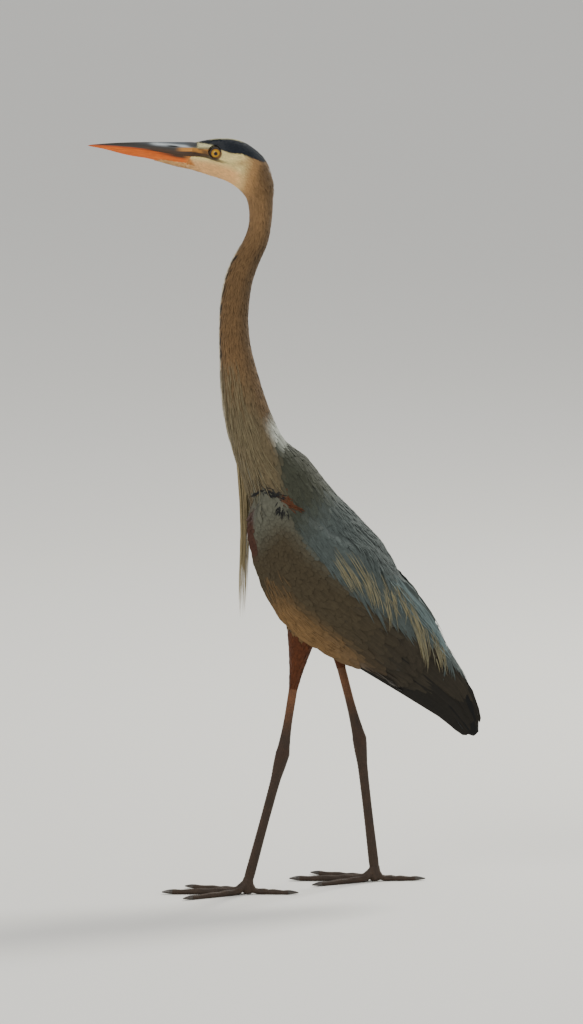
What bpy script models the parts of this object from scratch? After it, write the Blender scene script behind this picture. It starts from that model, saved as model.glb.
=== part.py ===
"""A great blue heron, life size, standing in mid-stride with its neck raised.

The bird faces -X, its left side is -Y and the floor is Z = 0.  X = 0 is half way between the tip
of the bill and the tip of the tail.  Each part of the bird is one closed solid, a hair's breadth
clear of its neighbours.  Tables are in millimetres and every mesh is in metres.
"""

import math

import bmesh
import bpy
from mathutils import Vector

MM = 0.001
GAP = 0.3            # clear space between two neighbouring parts
SIDES = {"left": -1.0, "right": 1.0}

# Driving sizes of the bird.
TARSUS_LENGTH = 180.0
STANCE_HALF_WIDTH = 46.0       # from the middle of the bird to the middle of a foot
WING_ORIGIN = (-38.0, 525.0)   # the wrist of the folded wing, in side view
BODY_SLOPE = math.radians(47.6)  # the folded wing and the body run down and back at this angle
EYE_CENTRE = (-92.0, 986.0)
EYE_RADIUS = 8.6
EYE_HALF_SPREAD = 10.6         # from the middle of the head to the middle of an eye

# The neck and head in side view: a point on the nape side, the facing point on the throat side,
# and half the width there.  The last number is the share of that width lost at the nape side.
HEAD_LINE = [
    ((-122.8, 998.0), (-133.0, 963.6), 11.0, 0.20),   # root of the bill
    ((-112.0, 1000.0), (-121.5, 959.8), 13.6, 0.16),  # lores and forehead
    ((-95.0, 1003.2), (-109.5, 956.2), 17.2, 0.12),   # eyes
    ((-72.5, 1004.0), (-99.0, 952.4), 20.6, 0.10),    # crown
    ((-50.0, 997.6), (-86.0, 948.6), 21.4, 0.08),     # cheeks
    ((-29.0, 979.5), (-74.0, 943.4), 20.0, 0.05),     # back of the head
    ((-16.8, 951.4), (-61.0, 933.6), 17.0, 0.02),     # nape
    ((-14.0, 925.0), (-51.0, 920.6), 14.6, 0.0),
]
NECK_LINE = [
    ((-15.2, 902.0), (-48.2, 901.0), 13.6, 0.0),
    ((-17.4, 881.0), (-49.6, 884.6), 13.6, 0.0),
    ((-22.4, 859.4), (-57.0, 866.0), 13.8, 0.0),
    ((-32.0, 838.0), (-68.6, 847.6), 14.2, 0.0),      # the backward bend
    ((-41.0, 812.4), (-80.0, 822.0), 14.8, 0.0),
    ((-45.6, 783.0), (-86.6, 787.6), 15.6, 0.0),
    ((-46.8, 754.0), (-88.4, 754.6), 16.8, 0.0),
    ((-42.2, 721.0), (-88.6, 718.0), 18.4, 0.0),
    ((-33.0, 687.0), (-86.6, 680.0), 20.4, 0.0),
    ((-23.0, 655.0), (-83.6, 645.0), 23.0, 0.02),
    ((-11.4, 626.0), (-77.8, 612.0), 27.0, 0.04),
]

# The trunk in the body's own frame: distance back from the wrist along the body's slope, height of
# the back and of the belly square to it, and half the width.
TRUNK_SECTIONS = [
    (-28.0, 81.0, -2.0, 36.0),
    (3.0, 88.0, -18.0, 46.0),
    (24.0, 87.0, -33.0, 50.0),
    (58.0, 84.0, -50.0, 54.0),
    (110.0, 82.5, -68.0, 56.0),
    (165.0, 81.5, -66.0, 54.0),
    (220.0, 65.5, -52.0, 45.0),
    (270.0, 48.0, -37.0, 33.0),
    (312.0, 33.0, -24.0, 20.0),
]

# The folded wing in the same frame: distance along it, heights of its upper and lower edges,
# distances of those edges from the middle of the bird, bulge between them, and thickness.
WING_SECTIONS = [
    (0.0, 14.0, -6.0, 47.0, 46.0, 3.0, 5.0),
    (11.0, 23.0, -26.0, 51.0, 45.0, 6.0, 8.0),
    (30.0, 32.0, -41.0, 54.0, 44.0, 9.0, 9.0),
    (60.0, 40.0, -58.0, 56.0, 45.0, 12.0, 10.0),
    (95.0, 47.0, -73.0, 55.0, 48.0, 15.0, 10.0),
    (135.0, 62.0, -82.0, 44.0, 51.0, 21.0, 10.0),
    (175.0, 73.0, -77.0, 26.0, 51.0, 30.0, 9.0),
    (215.0, 73.0, -66.0, 14.0, 45.0, 32.0, 8.0),
    (260.0, 68.0, -53.0, 9.0, 35.0, 29.0, 7.0),
    (300.0, 58.0, -41.0, 6.0, 26.0, 23.0, 6.0),
    (335.0, 50.0, -28.0, 5.0, 19.0, 17.0, 5.0),
    (365.0, 45.0, -19.0, 4.5, 15.0, 12.0, 4.5),
    (395.0, 33.0, -15.0, 4.5, 11.0, 9.0, 4.0),
    (420.0, 20.0, -13.0, 4.5, 8.0, 6.0, 3.0),
    (431.0, 9.0, -6.0, 4.5, 6.0, 3.0, 2.0),
]
WING_SPLIT = 318.0             # the primaries show behind this distance

# The tail: distance, height of its upper and lower faces, half its width.
TAIL_SECTIONS = [
    (308.0, 24.0, -18.0, 15.0),
    (345.0, 8.0, -18.0, 13.0),
    (380.0, 0.0, -17.0, 13.0),
    (410.0, -6.0, -17.0, 15.0),
    (428.0, -9.5, -15.5, 12.0),
]

# The two halves of the bill: upper point, lower point and half width, from root to tip.
UPPER_BILL = [
    ((-123.2, 998.0), (-128.3, 980.8), 10.8),
    ((-140.0, 998.4), (-144.0, 982.4), 9.8),
    ((-158.0, 999.0), (-161.0, 985.2), 8.5),
    ((-178.0, 999.2), (-180.0, 988.2), 7.0),
    ((-204.0, 998.8), (-205.2, 990.6), 5.4),
    ((-231.0, 997.2), (-231.4, 992.4), 3.4),
    ((-248.0, 995.6), (-248.0, 993.4), 1.9),
    ((-260.0, 994.2), (-260.0, 993.4), 0.5),
]
LOWER_BILL = [
    ((-128.5, 980.2), (-133.4, 963.6), 10.2),
    ((-144.2, 981.8), (-149.0, 967.0), 9.0),
    ((-161.2, 984.6), (-166.0, 972.2), 7.6),
    ((-180.2, 987.6), (-184.0, 977.4), 6.2),
    ((-199.0, 989.4), (-202.0, 978.4), 5.2),          # the angle under the bill
    ((-216.0, 990.8), (-218.0, 982.6), 4.2),
    ((-234.0, 992.0), (-234.6, 987.8), 2.8),
    ((-248.0, 992.8), (-248.0, 990.8), 1.7),
    ((-258.5, 993.0), (-258.5, 992.2), 0.5),
]

# Each leg in side view: knee, end of the feathers, heel, foot joint.
KNEES = {"left": (31.0, 420.0), "right": (44.0, 424.0)}
FEATHER_ENDS = {"left": (11.0, 275.0), "right": (74.0, 291.0)}
HEELS = {"left": (-2.8, 189.2), "right": (98.6, 193.8)}
TARSUS_LEANS = {"left": math.radians(-15.0), "right": math.radians(6.5)}

# Toes: name, turn outwards from straight ahead in degrees, length without the claw, root radius.
TOES = [
    ("inner", -27.0, 80.0, 5.0),
    ("middle", 1.0, 100.0, 5.4),
    ("outer", 29.0, 84.0, 5.0),
    ("hind", 176.0, 54.0, 4.8),
]
CLAW_LENGTH = 13.0
TOE_SINK = 0.5                 # the floor takes this much off a toe's round underside


# --- materials ---------------------------------------------------------------------------------

MATERIALS = {
    # name: (colour, roughness)
    "slate_plumage": ((0.16, 0.19, 0.20), 0.85),
    "neck_plumage": ((0.24, 0.18, 0.13), 0.85),
    "face_plumage": ((0.62, 0.54, 0.36), 0.80),
    "chestnut_plumage": ((0.21, 0.08, 0.04), 0.85),
    "flight_feathers": ((0.035, 0.04, 0.05), 0.70),
    "pale_plumes": ((0.52, 0.48, 0.38), 0.80),
    "bill_horn": ((0.10, 0.09, 0.08), 0.35),
    "bill_yellow": ((0.62, 0.30, 0.04), 0.35),
    "leg_scales": ((0.16, 0.10, 0.06), 0.55),
    "claw_horn": ((0.03, 0.025, 0.02), 0.40),
    "eye_yellow": ((0.60, 0.42, 0.04), 0.08),
}


def material(name):
    """The Principled material of that name, made the first time it is asked for."""
    found = bpy.data.materials.get(name)
    if found:
        return found
    colour, roughness = MATERIALS[name]
    made = bpy.data.materials.new(name)
    made.use_nodes = True
    shader = made.node_tree.nodes["Principled BSDF"]
    shader.inputs["Base Color"].default_value = (*colour, 1.0)
    shader.inputs["Roughness"].default_value = roughness
    shader.inputs["Metallic"].default_value = 0.0
    return made


# --- tools -------------------------------------------------------------------------------------

def collection(name):
    made = bpy.data.collections.new(name)
    bpy.context.scene.collection.children.link(made)
    return made


def smooth(rows, t):
    """A row part way down a table of equal rows of numbers, on a smooth curve through them all.

    t runs from 0 at the first row to 1 at the last.
    """
    place = min(max(t, 0.0), 1.0) * (len(rows) - 1)
    i = min(int(place), len(rows) - 2)
    f = place - i
    before = rows[max(i - 1, 0)]
    after = rows[min(i + 2, len(rows) - 1)]
    found = []
    for a, b, c, d in zip(before, rows[i], rows[i + 1], after):
        slope_b = (c - a) / 2
        slope_c = (d - b) / 2
        found.append(
            b
            + slope_b * f
            + (3 * (c - b) - 2 * slope_b - slope_c) * f**2
            + (2 * (b - c) + slope_b + slope_c) * f**3
        )
    return found


def part_object(name, mesh, material_name, where):
    made = bpy.data.objects.new(name, mesh)
    made.data.materials.append(material(material_name))
    where.objects.link(made)
    return made


def loft(name, rings, material_name, where):
    """A closed skin over rings of points, all of one length, with a flat cap at each end."""
    shape = bmesh.new()
    made = [[shape.verts.new(Vector(point) * MM) for point in ring] for ring in rings]
    count = len(rings[0])
    for near, far in zip(made, made[1:]):
        for i in range(count):
            j = (i + 1) % count
            shape.faces.new((near[i], near[j], far[j], far[i]))
    shape.faces.new(reversed(made[0]))
    shape.faces.new(made[-1])
    bmesh.ops.recalc_face_normals(shape, faces=shape.faces)
    mesh = bpy.data.meshes.new(name)
    shape.to_mesh(mesh)
    shape.free()
    mesh.shade_smooth()
    mesh.set_sharp_from_angle(angle=math.radians(50))
    return part_object(name, mesh, material_name, where)


def grown(obj, by):
    """A hidden copy of obj, swollen by that much, to cut a neighbour clear of it."""
    mesh = obj.data.copy()
    moved = [vertex.co + vertex.normal * by * MM for vertex in mesh.vertices]
    for vertex, place in zip(mesh.vertices, moved):
        vertex.co = place
    copy = bpy.data.objects.new(obj.name + "_cutter", mesh)
    cutters.objects.link(copy)
    copy.hide_render = True
    copy.display_type = "WIRE"
    return copy


def boolean(obj, other, operation):
    """Applies one Boolean to obj's mesh."""
    modifier = obj.modifiers.new(operation.lower(), "BOOLEAN")
    modifier.operation = operation
    modifier.solver = "EXACT"
    modifier.object = other
    bpy.context.view_layer.update()
    graph = bpy.context.evaluated_depsgraph_get()
    mesh = bpy.data.meshes.new_from_object(obj.evaluated_get(graph))
    obj.modifiers.remove(modifier)
    old = obj.data
    obj.data = mesh
    mesh.name = old.name
    bpy.data.meshes.remove(old)


def keep_largest_body(obj):
    """Drops the scraps that a cut leaves beside the main body."""
    shape = bmesh.new()
    shape.from_mesh(obj.data)
    bodies = []
    left = set(shape.verts)
    while left:
        todo = [left.pop()]
        body = set(todo)
        while todo:
            for edge in todo.pop().link_edges:
                for vertex in edge.verts:
                    if vertex in left:
                        left.discard(vertex)
                        body.add(vertex)
                        todo.append(vertex)
        bodies.append(body)
    bodies.sort(key=len)
    for body in bodies[:-1]:
        bmesh.ops.delete(shape, geom=list(body), context="VERTS")
    shape.to_mesh(obj.data)
    shape.free()


def cut_clear(obj, neighbours):
    """Trims obj so that it stays GAP clear of each neighbour."""
    for neighbour in neighbours:
        boolean(obj, grown(neighbour, GAP), "DIFFERENCE")
    keep_largest_body(obj)


# --- head, neck and trunk ----------------------------------------------------------------------

BODY_SIDES = 20
ALONG = (math.cos(BODY_SLOPE), -math.sin(BODY_SLOPE))   # down and back along the body
ACROSS = (math.sin(BODY_SLOPE), math.cos(BODY_SLOPE))   # up and back, square to it


def in_body_frame(distance, height):
    """The side-view point at that distance along the body from the wrist, and height above it."""
    return (
        WING_ORIGIN[0] + distance * ALONG[0] + height * ACROSS[0],
        WING_ORIGIN[1] + distance * ALONG[1] + height * ACROSS[1],
    )


def profile_rows():
    """The whole bird from the root of the bill to the root of the tail, as one table.

    A row holds the back point, the front point, half the width, the taper towards the back and
    how square the section is.
    """
    rows = []
    for back, front, half_width, taper in HEAD_LINE + NECK_LINE:
        rows.append([*back, *front, half_width, taper, 2.0])
    for distance, top, bottom, half_width in TRUNK_SECTIONS:
        back = in_body_frame(distance, top)
        front = in_body_frame(distance, bottom)
        rows.append([*back, *front, half_width, 0.06, 2.35])
    return rows


def body_ring(row):
    """The section of the bird at one row of the profile."""
    back_x, back_z, front_x, front_z, half_width, taper, squareness = row
    middle = ((back_x + front_x) / 2, (back_z + front_z) / 2)
    to_back = ((back_x - front_x) / 2, (back_z - front_z) / 2)
    ring = []
    for i in range(BODY_SIDES):
        angle = math.tau * i / BODY_SIDES
        c, s = math.cos(angle), math.sin(angle)
        power = 2 / squareness
        rise = math.copysign(abs(s) ** power, s)
        side = math.copysign(abs(c) ** power, c) * half_width * (1 - taper * rise)
        ring.append((middle[0] + to_back[0] * rise, side, middle[1] + to_back[1] * rise))
    return ring


def body_length(name, start, end, rings, material_name):
    """The stretch of the bird between two rows of the profile, GAP short of its neighbours."""
    rows = profile_rows()
    last = len(rows) - 1
    trim_start = trim_at(rows, start) if start > 0 else 0.0
    trim_end = trim_at(rows, end) if end < last else 0.0
    first = start + trim_start
    reach = end - trim_end - first
    places = [first + reach * k / (rings - 1) for k in range(rings)]
    made = [body_ring(smooth(rows, place / last)) for place in places]
    return loft(name, made, material_name, parts)


def trim_at(rows, station):
    """How far along the table, in rows, half the gap between two parts reaches."""
    last = len(rows) - 1
    here, ahead = (smooth(rows, (station + step) / last) for step in (0.0, 0.01))
    shortest = min(
        math.hypot(ahead[0] - here[0], ahead[1] - here[1]),
        math.hypot(ahead[2] - here[2], ahead[3] - here[3]),
    )
    return 0.01 * GAP / 2 / shortest


def eye_side(side):
    return Vector((EYE_CENTRE[0], SIDES[side] * EYE_HALF_SPREAD, EYE_CENTRE[1])) * MM


def ball(name, centre, radius, material_name, where):
    bpy.ops.mesh.primitive_uv_sphere_add(
        segments=12, ring_count=9, radius=radius * MM, location=centre
    )
    made = bpy.context.active_object
    made.name = name
    made.data.name = name
    made.data.materials.append(material(material_name))
    made.data.shade_smooth()
    for home in list(made.users_collection):
        home.objects.unlink(made)
    where.objects.link(made)
    return made


def add_head_neck_and_trunk():
    head_end = len(HEAD_LINE) - 1
    neck_end = head_end + len(NECK_LINE)
    upper_end = head_end + 5
    lower_start = head_end + 8
    trunk_end = neck_end + len(TRUNK_SECTIONS)
    head = body_length("head", 0, head_end, 13, "face_plumage")
    body_length("neck_upper", head_end, upper_end, 9, "neck_plumage")
    body_length("neck_middle", upper_end, lower_start, 6, "neck_plumage")
    body_length("neck_lower", lower_start, neck_end + 0.5, 8, "neck_plumage")
    trunk = body_length("trunk", neck_end + 0.5, trunk_end, 17, "slate_plumage")
    for side in SIDES:
        socket = ball("socket_" + side, eye_side(side), EYE_RADIUS + GAP, "eye_yellow", cutters)
        socket.hide_render = True
        socket.display_type = "WIRE"
        boolean(head, socket, "DIFFERENCE")
        ball("eye_" + side, eye_side(side), EYE_RADIUS, "eye_yellow", parts)
    keep_largest_body(head)
    return trunk


# --- bill --------------------------------------------------------------------------------------

BILL_ARC_STEPS = 9
BILL_RINGS = 13


def bill_half(name, table, arched_up, material_name):
    """One half of the bill: flat where the halves meet and round on its outer side."""
    rows = [[*upper, *lower, half_width] for upper, lower, half_width in table]
    rings = []
    for k in range(BILL_RINGS):
        upper_x, upper_z, lower_x, lower_z, half_width = smooth(rows, k / (BILL_RINGS - 1))
        ring = []
        for i in range(BILL_ARC_STEPS + 1):
            angle = math.pi * i / BILL_ARC_STEPS
            rise = math.sin(angle) ** 0.85
            share = rise if arched_up else 1 - rise
            ring.append((
                lower_x + (upper_x - lower_x) * share,
                half_width * math.cos(angle),
                lower_z + (upper_z - lower_z) * share,
            ))
        rings.append(ring)
    return loft(name, rings, material_name, parts)


def add_bill():
    bill_half("bill_upper", UPPER_BILL, True, "bill_horn")
    bill_half("bill_lower", LOWER_BILL, False, "bill_yellow")


# --- wings and tail ----------------------------------------------------------------------------

WING_CHORD_STEPS = 8


def wing_ring(row, side):
    """A lens-shaped section of the folded wing, bulging away from the body."""
    distance, top, bottom, top_out, bottom_out, bulge, thickness = row
    outer, inner = [], []
    for i in range(WING_CHORD_STEPS + 1):
        share = 0.5 - 0.5 * math.cos(math.pi * i / WING_CHORD_STEPS)
        x, z = in_body_frame(distance, bottom + (top - bottom) * share)
        arch = (4 * share * (1 - share)) ** 0.7
        out = bottom_out + (top_out - bottom_out) * share + bulge * arch
        depth = 1.2 + (thickness - 1.2) * arch
        outer.append((x, side * out, z))
        inner.append((x, side * (out - depth), z))
    return outer + inner[::-1]


def add_wing(side, trunk):
    rows = [list(row) for row in WING_SECTIONS]

    def stretch(name, start, end, rings, material_name):
        made = []
        last = len(rows) - 1
        for k in range(rings):
            distance = start + (end - start) * k / (rings - 1)
            i = max(n for n in range(last) if rows[n][0] <= distance + 1e-6)
            f = (distance - rows[i][0]) / (rows[i + 1][0] - rows[i][0])
            row = smooth(rows, (i + f) / last)
            made.append(wing_ring(row, SIDES[side]))
        return loft(name, made, material_name, parts)

    front = rows[0][0]
    tip = rows[-1][0]
    wing = stretch("wing_" + side, front, WING_SPLIT - GAP / 2, 17, "slate_plumage")
    cut_clear(wing, [trunk])
    primaries = stretch("primaries_" + side, WING_SPLIT + GAP / 2, tip, 8, "flight_feathers")
    return wing, primaries


TAIL_SIDES = 12


def add_tail(neighbours):
    rows = [list(row) for row in TAIL_SECTIONS]
    rings = []
    for k in range(8):
        distance, top, bottom, half_width = smooth(rows, k / 7)
        ring = []
        for i in range(TAIL_SIDES):
            angle = math.tau * i / TAIL_SIDES
            height = (top + bottom) / 2 + (top - bottom) / 2 * math.sin(angle)
            x, z = in_body_frame(distance, height)
            ring.append((x, half_width * math.cos(angle), z))
        rings.append(ring)
    tail = loft("tail", rings, "flight_feathers", parts)
    cut_clear(tail, neighbours)


# --- breast plumes -----------------------------------------------------------------------------

PLUME_LINE = [
    # centre in side view, fore-and-aft half depth, half width
    (-64.0, 586.0, 6.0, 15.0),
    (-60.0, 548.0, 7.5, 17.0),
    (-55.5, 512.0, 6.5, 15.0),
    (-53.0, 470.0, 4.5, 10.0),
    (-53.5, 430.0, 2.6, 5.5),
    (-56.0, 386.0, 0.9, 1.6),
]
PLUME_SIDES = 8


def add_breast_plumes(neighbours):
    rows = [list(row) for row in PLUME_LINE]
    rings = []
    for k in range(10):
        x, z, half_depth, half_width = smooth(rows, k / 9)
        ring = []
        for i in range(PLUME_SIDES):
            angle = math.tau * i / PLUME_SIDES
            ring.append((x + half_depth * math.sin(angle), half_width * math.cos(angle), z))
        rings.append(ring)
    plumes = loft("breast_plumes", rings, "pale_plumes", parts)
    cut_clear(plumes, neighbours)


# --- legs and feet -----------------------------------------------------------------------------

def tube(name, stations, sides, rings, material_name, where):
    """A limb through stations of (centre, half depth, half width), with level-built sections."""
    rows = [[*centre, depth, width] for centre, depth, width in stations]
    made = []
    for k in range(rings):
        t = k / (rings - 1)
        x, y, z, depth, width = smooth(rows, t)
        ahead = Vector(smooth(rows, min(t + 0.01, 1))[:3])
        behind = Vector(smooth(rows, max(t - 0.01, 0))[:3])
        run = (ahead - behind).normalized()
        across = run.cross(Vector((0, 1, 0)) if abs(run.y) < 0.5 else Vector((1, 0, 0)))
        across.normalize()
        out = across.cross(run)
        ring = []
        for i in range(sides):
            angle = math.tau * i / sides
            offset = across * depth * math.cos(angle) + out * width * math.sin(angle)
            ring.append(Vector((x, y, z)) + offset)
        made.append(ring)
    return loft(name, made, material_name, where)


def point_between(start, end, share):
    return tuple(a + (b - a) * share for a, b in zip(start, end))


def leg_points(side):
    """Knee, end of feathers, heel and foot joint of one leg, in space."""
    sign = SIDES[side]

    def at(point, half_spread):
        return (point[0], sign * half_spread, point[1])

    heel = HEELS[side]
    lean = TARSUS_LEANS[side]
    foot = (
        heel[0] + TARSUS_LENGTH * math.sin(lean),
        heel[1] - TARSUS_LENGTH * math.cos(lean),
    )
    return (
        at(KNEES[side], STANCE_HALF_WIDTH - 14),
        at(FEATHER_ENDS[side], STANCE_HALF_WIDTH - 7),
        at(heel, STANCE_HALF_WIDTH - 3),
        at(foot, STANCE_HALF_WIDTH),
    )


def add_leg(side, neighbours):
    knee, feather_end, heel, foot = leg_points(side)
    below = point_between(feather_end, heel, 0.004)
    thigh = tube(
        "thigh_" + side,
        [
            (knee, 27.0, 15.0),
            (point_between(knee, feather_end, 0.30), 25.0, 15.5),
            (point_between(knee, feather_end, 0.52), 19.0, 13.0),
            (point_between(knee, feather_end, 0.74), 12.0, 10.0),
            (feather_end, 6.9, 6.2),
        ],
        14, 10, "chestnut_plumage", parts,
    )
    cut_clear(thigh, neighbours)
    shank = tube(
        "shank_" + side,
        [
            (below, 6.0, 5.2),
            (point_between(below, heel, 0.5), 5.8, 4.8),
            (point_between(below, heel, 0.84), 7.6, 5.6),
            (point_between(below, heel, 1.02), 9.6, 6.8),
        ],
        12, 8, "leg_scales", parts,
    )
    tarsus = tube(
        "tarsus_" + side,
        [
            (heel, 9.7, 6.9),
            (point_between(heel, foot, 0.11), 8.4, 6.0),
            (point_between(heel, foot, 0.24), 6.6, 4.9),
            (point_between(heel, foot, 0.60), 6.2, 4.6),
            (point_between(heel, foot, 0.90), 6.8, 5.6),
            (point_between(heel, foot, 0.965), 6.6, 6.0),
        ],
        12, 12, "leg_scales", parts,
    )
    cut_clear(shank, [tarsus])


def toe_path(root, turn, side, reach):
    """The point at that distance out from the foot joint along a toe, at height zero."""
    angle = math.radians(turn) * SIDES[side]
    return (root[0] - reach * math.cos(angle), root[1] + reach * math.sin(angle))


def add_foot(side):
    """Three toes forward and one behind, joined at the foot joint, with a claw on each."""
    _, _, heel, root = leg_points(side)
    top = point_between(heel, root, 0.967)
    foot = tube(
        "foot_" + side,
        [
            (top, 6.4, 6.0),
            (point_between(top, root, 0.8), 7.6, 7.4),
            ((root[0], root[1], 5.0), 7.0, 7.4),
            ((root[0], root[1], 0.9), 5.6, 6.0),
        ],
        14, 6, "leg_scales", parts,
    )
    for name, turn, length, radius in TOES:
        stations = []
        for k in range(10):
            share = k / 9
            knuckle = 1.08 if k % 3 == 0 else 0.93
            size = radius * (1 - 0.34 * share) * knuckle
            x, y = toe_path(root, turn, side, 2 + (length - 2) * share)
            lift = (root[2] - 6) * (1 - min(1, share * 5)) ** 2
            stations.append(((x, y, size - TOE_SINK + lift), size, size * 1.05))
        toe = tube("toe", stations, 8, 9, "leg_scales", cutters)
        boolean(foot, toe, "UNION")
        bpy.data.objects.remove(toe)

        tip = radius * 0.66
        claw_stations = []
        for share, size in ((0, 0.72), (0.35, 0.6), (0.7, 0.38), (1.0, 0.13)):
            reach = length + GAP + share * CLAW_LENGTH
            x, y = toe_path(root, turn, side, reach)
            drop = tip * 0.15 * share * share
            claw_stations.append(((x, y, tip - drop), tip * size * 1.1, tip * size))
        tube("claw_" + side + "_" + name, claw_stations, 7, 4, "claw_horn", parts)
    flatten_underside(foot)


def flatten_underside(obj):
    """Cuts off all that is below the floor and closes the cut with flats."""
    shape = bmesh.new()
    shape.from_mesh(obj.data)
    everything = shape.verts[:] + shape.edges[:] + shape.faces[:]
    cut = bmesh.ops.bisect_plane(
        shape, geom=everything, dist=1e-7, plane_co=(0, 0, 0), plane_no=(0, 0, -1),
        clear_outer=True,
    )
    rim = [item for item in cut["geom_cut"] if isinstance(item, bmesh.types.BMEdge)]
    bmesh.ops.holes_fill(shape, edges=rim, sides=0)
    bmesh.ops.triangulate(shape, faces=shape.faces)
    bmesh.ops.recalc_face_normals(shape, faces=shape.faces)
    shape.to_mesh(obj.data)
    shape.free()


# --- the bird ----------------------------------------------------------------------------------

for old in list(bpy.data.objects):
    bpy.data.objects.remove(old)
parts = collection("great_blue_heron")
cutters = collection("cutters")
cutters.hide_render = True

trunk = add_head_neck_and_trunk()
add_bill()
belly_neighbours = [trunk]
wing_ends = []
for side in SIDES:
    wing, primaries = add_wing(side, trunk)
    belly_neighbours.append(wing)
    wing_ends.append(primaries)
add_tail(wing_ends + [trunk])
for side in SIDES:
    add_leg(side, belly_neighbours)
    add_foot(side)
add_breast_plumes([bpy.data.objects["neck_lower"], trunk])
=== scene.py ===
"""A great blue heron, dressed: skin, plumage, bill, eyes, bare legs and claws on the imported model.

The bird faces -X and its left side is -Y.  Sizes are in millimetres, and every mesh is in metres.
"""

import math

import bpy
import numpy as np
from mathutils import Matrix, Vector
from mathutils.bvhtree import BVHTree


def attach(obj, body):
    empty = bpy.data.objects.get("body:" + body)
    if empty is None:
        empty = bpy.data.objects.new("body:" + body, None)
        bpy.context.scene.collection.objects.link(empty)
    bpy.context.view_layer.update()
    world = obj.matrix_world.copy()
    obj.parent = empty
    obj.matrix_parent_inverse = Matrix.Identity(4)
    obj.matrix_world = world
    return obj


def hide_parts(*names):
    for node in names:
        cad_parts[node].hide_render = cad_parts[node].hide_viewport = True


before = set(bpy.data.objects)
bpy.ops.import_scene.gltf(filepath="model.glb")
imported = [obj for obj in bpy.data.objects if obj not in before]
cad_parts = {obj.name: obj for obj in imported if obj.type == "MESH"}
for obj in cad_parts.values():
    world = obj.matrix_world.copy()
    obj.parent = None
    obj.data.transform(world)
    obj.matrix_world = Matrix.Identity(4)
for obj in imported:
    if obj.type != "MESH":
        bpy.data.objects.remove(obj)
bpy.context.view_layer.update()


# Studio -----------------------------------------------------------------------------------------
# A wide pale floor under soft panels of light.  The camera stands far off on the bird's left side,
# a little above its back, behind a long lens.

MM = 0.001
VIEW_HEIGHT = 1352.0            # what the picture takes in from top to bottom, at the bird
CAMERA_AWAY = 22000.0
CAMERA_RISE = math.radians(9.5)
AIM = Vector((8.6, 0.0, 504.5))
FLOOR_SIZE = 90.0               # metres


def add_node(owner, kind, inputs=None, **settings):
    """A new shader node.  A socket in inputs is linked, and any other value is set."""
    tree = owner.node_tree
    made = tree.nodes.new(kind)
    for name, value in settings.items():
        setattr(made, name, value)
    for key, value in (inputs or {}).items():
        if isinstance(value, bpy.types.NodeSocket):
            tree.links.new(value, made.inputs[key])
        else:
            made.inputs[key].default_value = value
    return made


def new_material(name, roughness, **constants):
    """A Principled material with its constant sockets set."""
    made = bpy.data.materials.new(name)
    made.use_nodes = True
    shader = made.node_tree.nodes["Principled BSDF"]
    shader.inputs["Roughness"].default_value = roughness
    for socket, value in constants.items():
        shader.inputs[socket.replace("_", " ")].default_value = value
    return made


def linear(red, green, blue):
    """The colour that a screen shows for these three numbers of 0 to 255."""
    return np.array([((part / 255 + 0.055) / 1.055) ** 2.4 for part in (red, green, blue)])


def tint(colour):
    return (*map(float, colour), 1.0)


def grey(value):
    return (value, value, value, 1.0)


def mixed(owner, factor, first, second, blend="MIX"):
    """The colour socket of a mix between two colours or colour sockets."""
    node = add_node(owner, "ShaderNodeMix", data_type="RGBA", blend_type=blend)
    for index, value in ((0, factor), (6, first), (7, second)):
        if isinstance(value, bpy.types.NodeSocket):
            owner.node_tree.links.new(value, node.inputs[index])
        else:
            node.inputs[index].default_value = value
    return node.outputs[2]


def worked(owner, operation, first, second=0.0, third=0.0):
    """The value socket of one Math node."""
    values = {0: first, 1: second, 2: third}
    return add_node(owner, "ShaderNodeMath", values, operation=operation).outputs[0]


def ramp(owner, factor, *stops):
    """The colour socket of a ramp through (place, colour) stops."""
    node = add_node(owner, "ShaderNodeValToRGB", {"Fac": factor})
    elements = node.color_ramp.elements
    elements[0].position, elements[0].color = stops[0]
    elements[1].position, elements[1].color = stops[-1]
    for place, colour in stops[1:-1]:
        elements.new(place).color = colour
    return node.outputs["Color"]


def stored(owner, attribute):
    """The socket of the colours that a mesh carries under this name."""
    return add_node(owner, "ShaderNodeAttribute", attribute_name=attribute).outputs["Color"]


def place_on(owner):
    """The socket that tells where on the bird a point is."""
    return add_node(owner, "ShaderNodeTexCoord").outputs["Object"]


def cloudy(owner, place, scale, detail):
    """The value socket of a noise pattern."""
    values = {"Vector": place, "Scale": scale, "Detail": detail}
    return add_node(owner, "ShaderNodeTexNoise", values).outputs["Fac"]


def scaly(owner, place, scale):
    """The value socket of a pattern of cells: the distance from the middle of the nearest one."""
    return add_node(owner, "ShaderNodeTexVoronoi", {"Vector": place, "Scale": scale}).outputs["Distance"]


def wire(owner, colour, relief=None, distance=0.0, strength=0.0, invert=False):
    """Links a colour to a material's shader and, if there is a relief, a bump as well."""
    shader = owner.node_tree.nodes["Principled BSDF"]
    owner.node_tree.links.new(colour, shader.inputs["Base Color"])
    if relief is not None:
        values = {"Height": relief, "Distance": distance, "Strength": strength}
        bump = add_node(owner, "ShaderNodeBump", values, invert=invert)
        owner.node_tree.links.new(bump.outputs["Normal"], shader.inputs["Normal"])


def deselect():
    bpy.ops.object.select_all(action="DESELECT")


def select_only(piece):
    deselect()
    piece.select_set(True)
    bpy.context.view_layer.objects.active = piece


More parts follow.
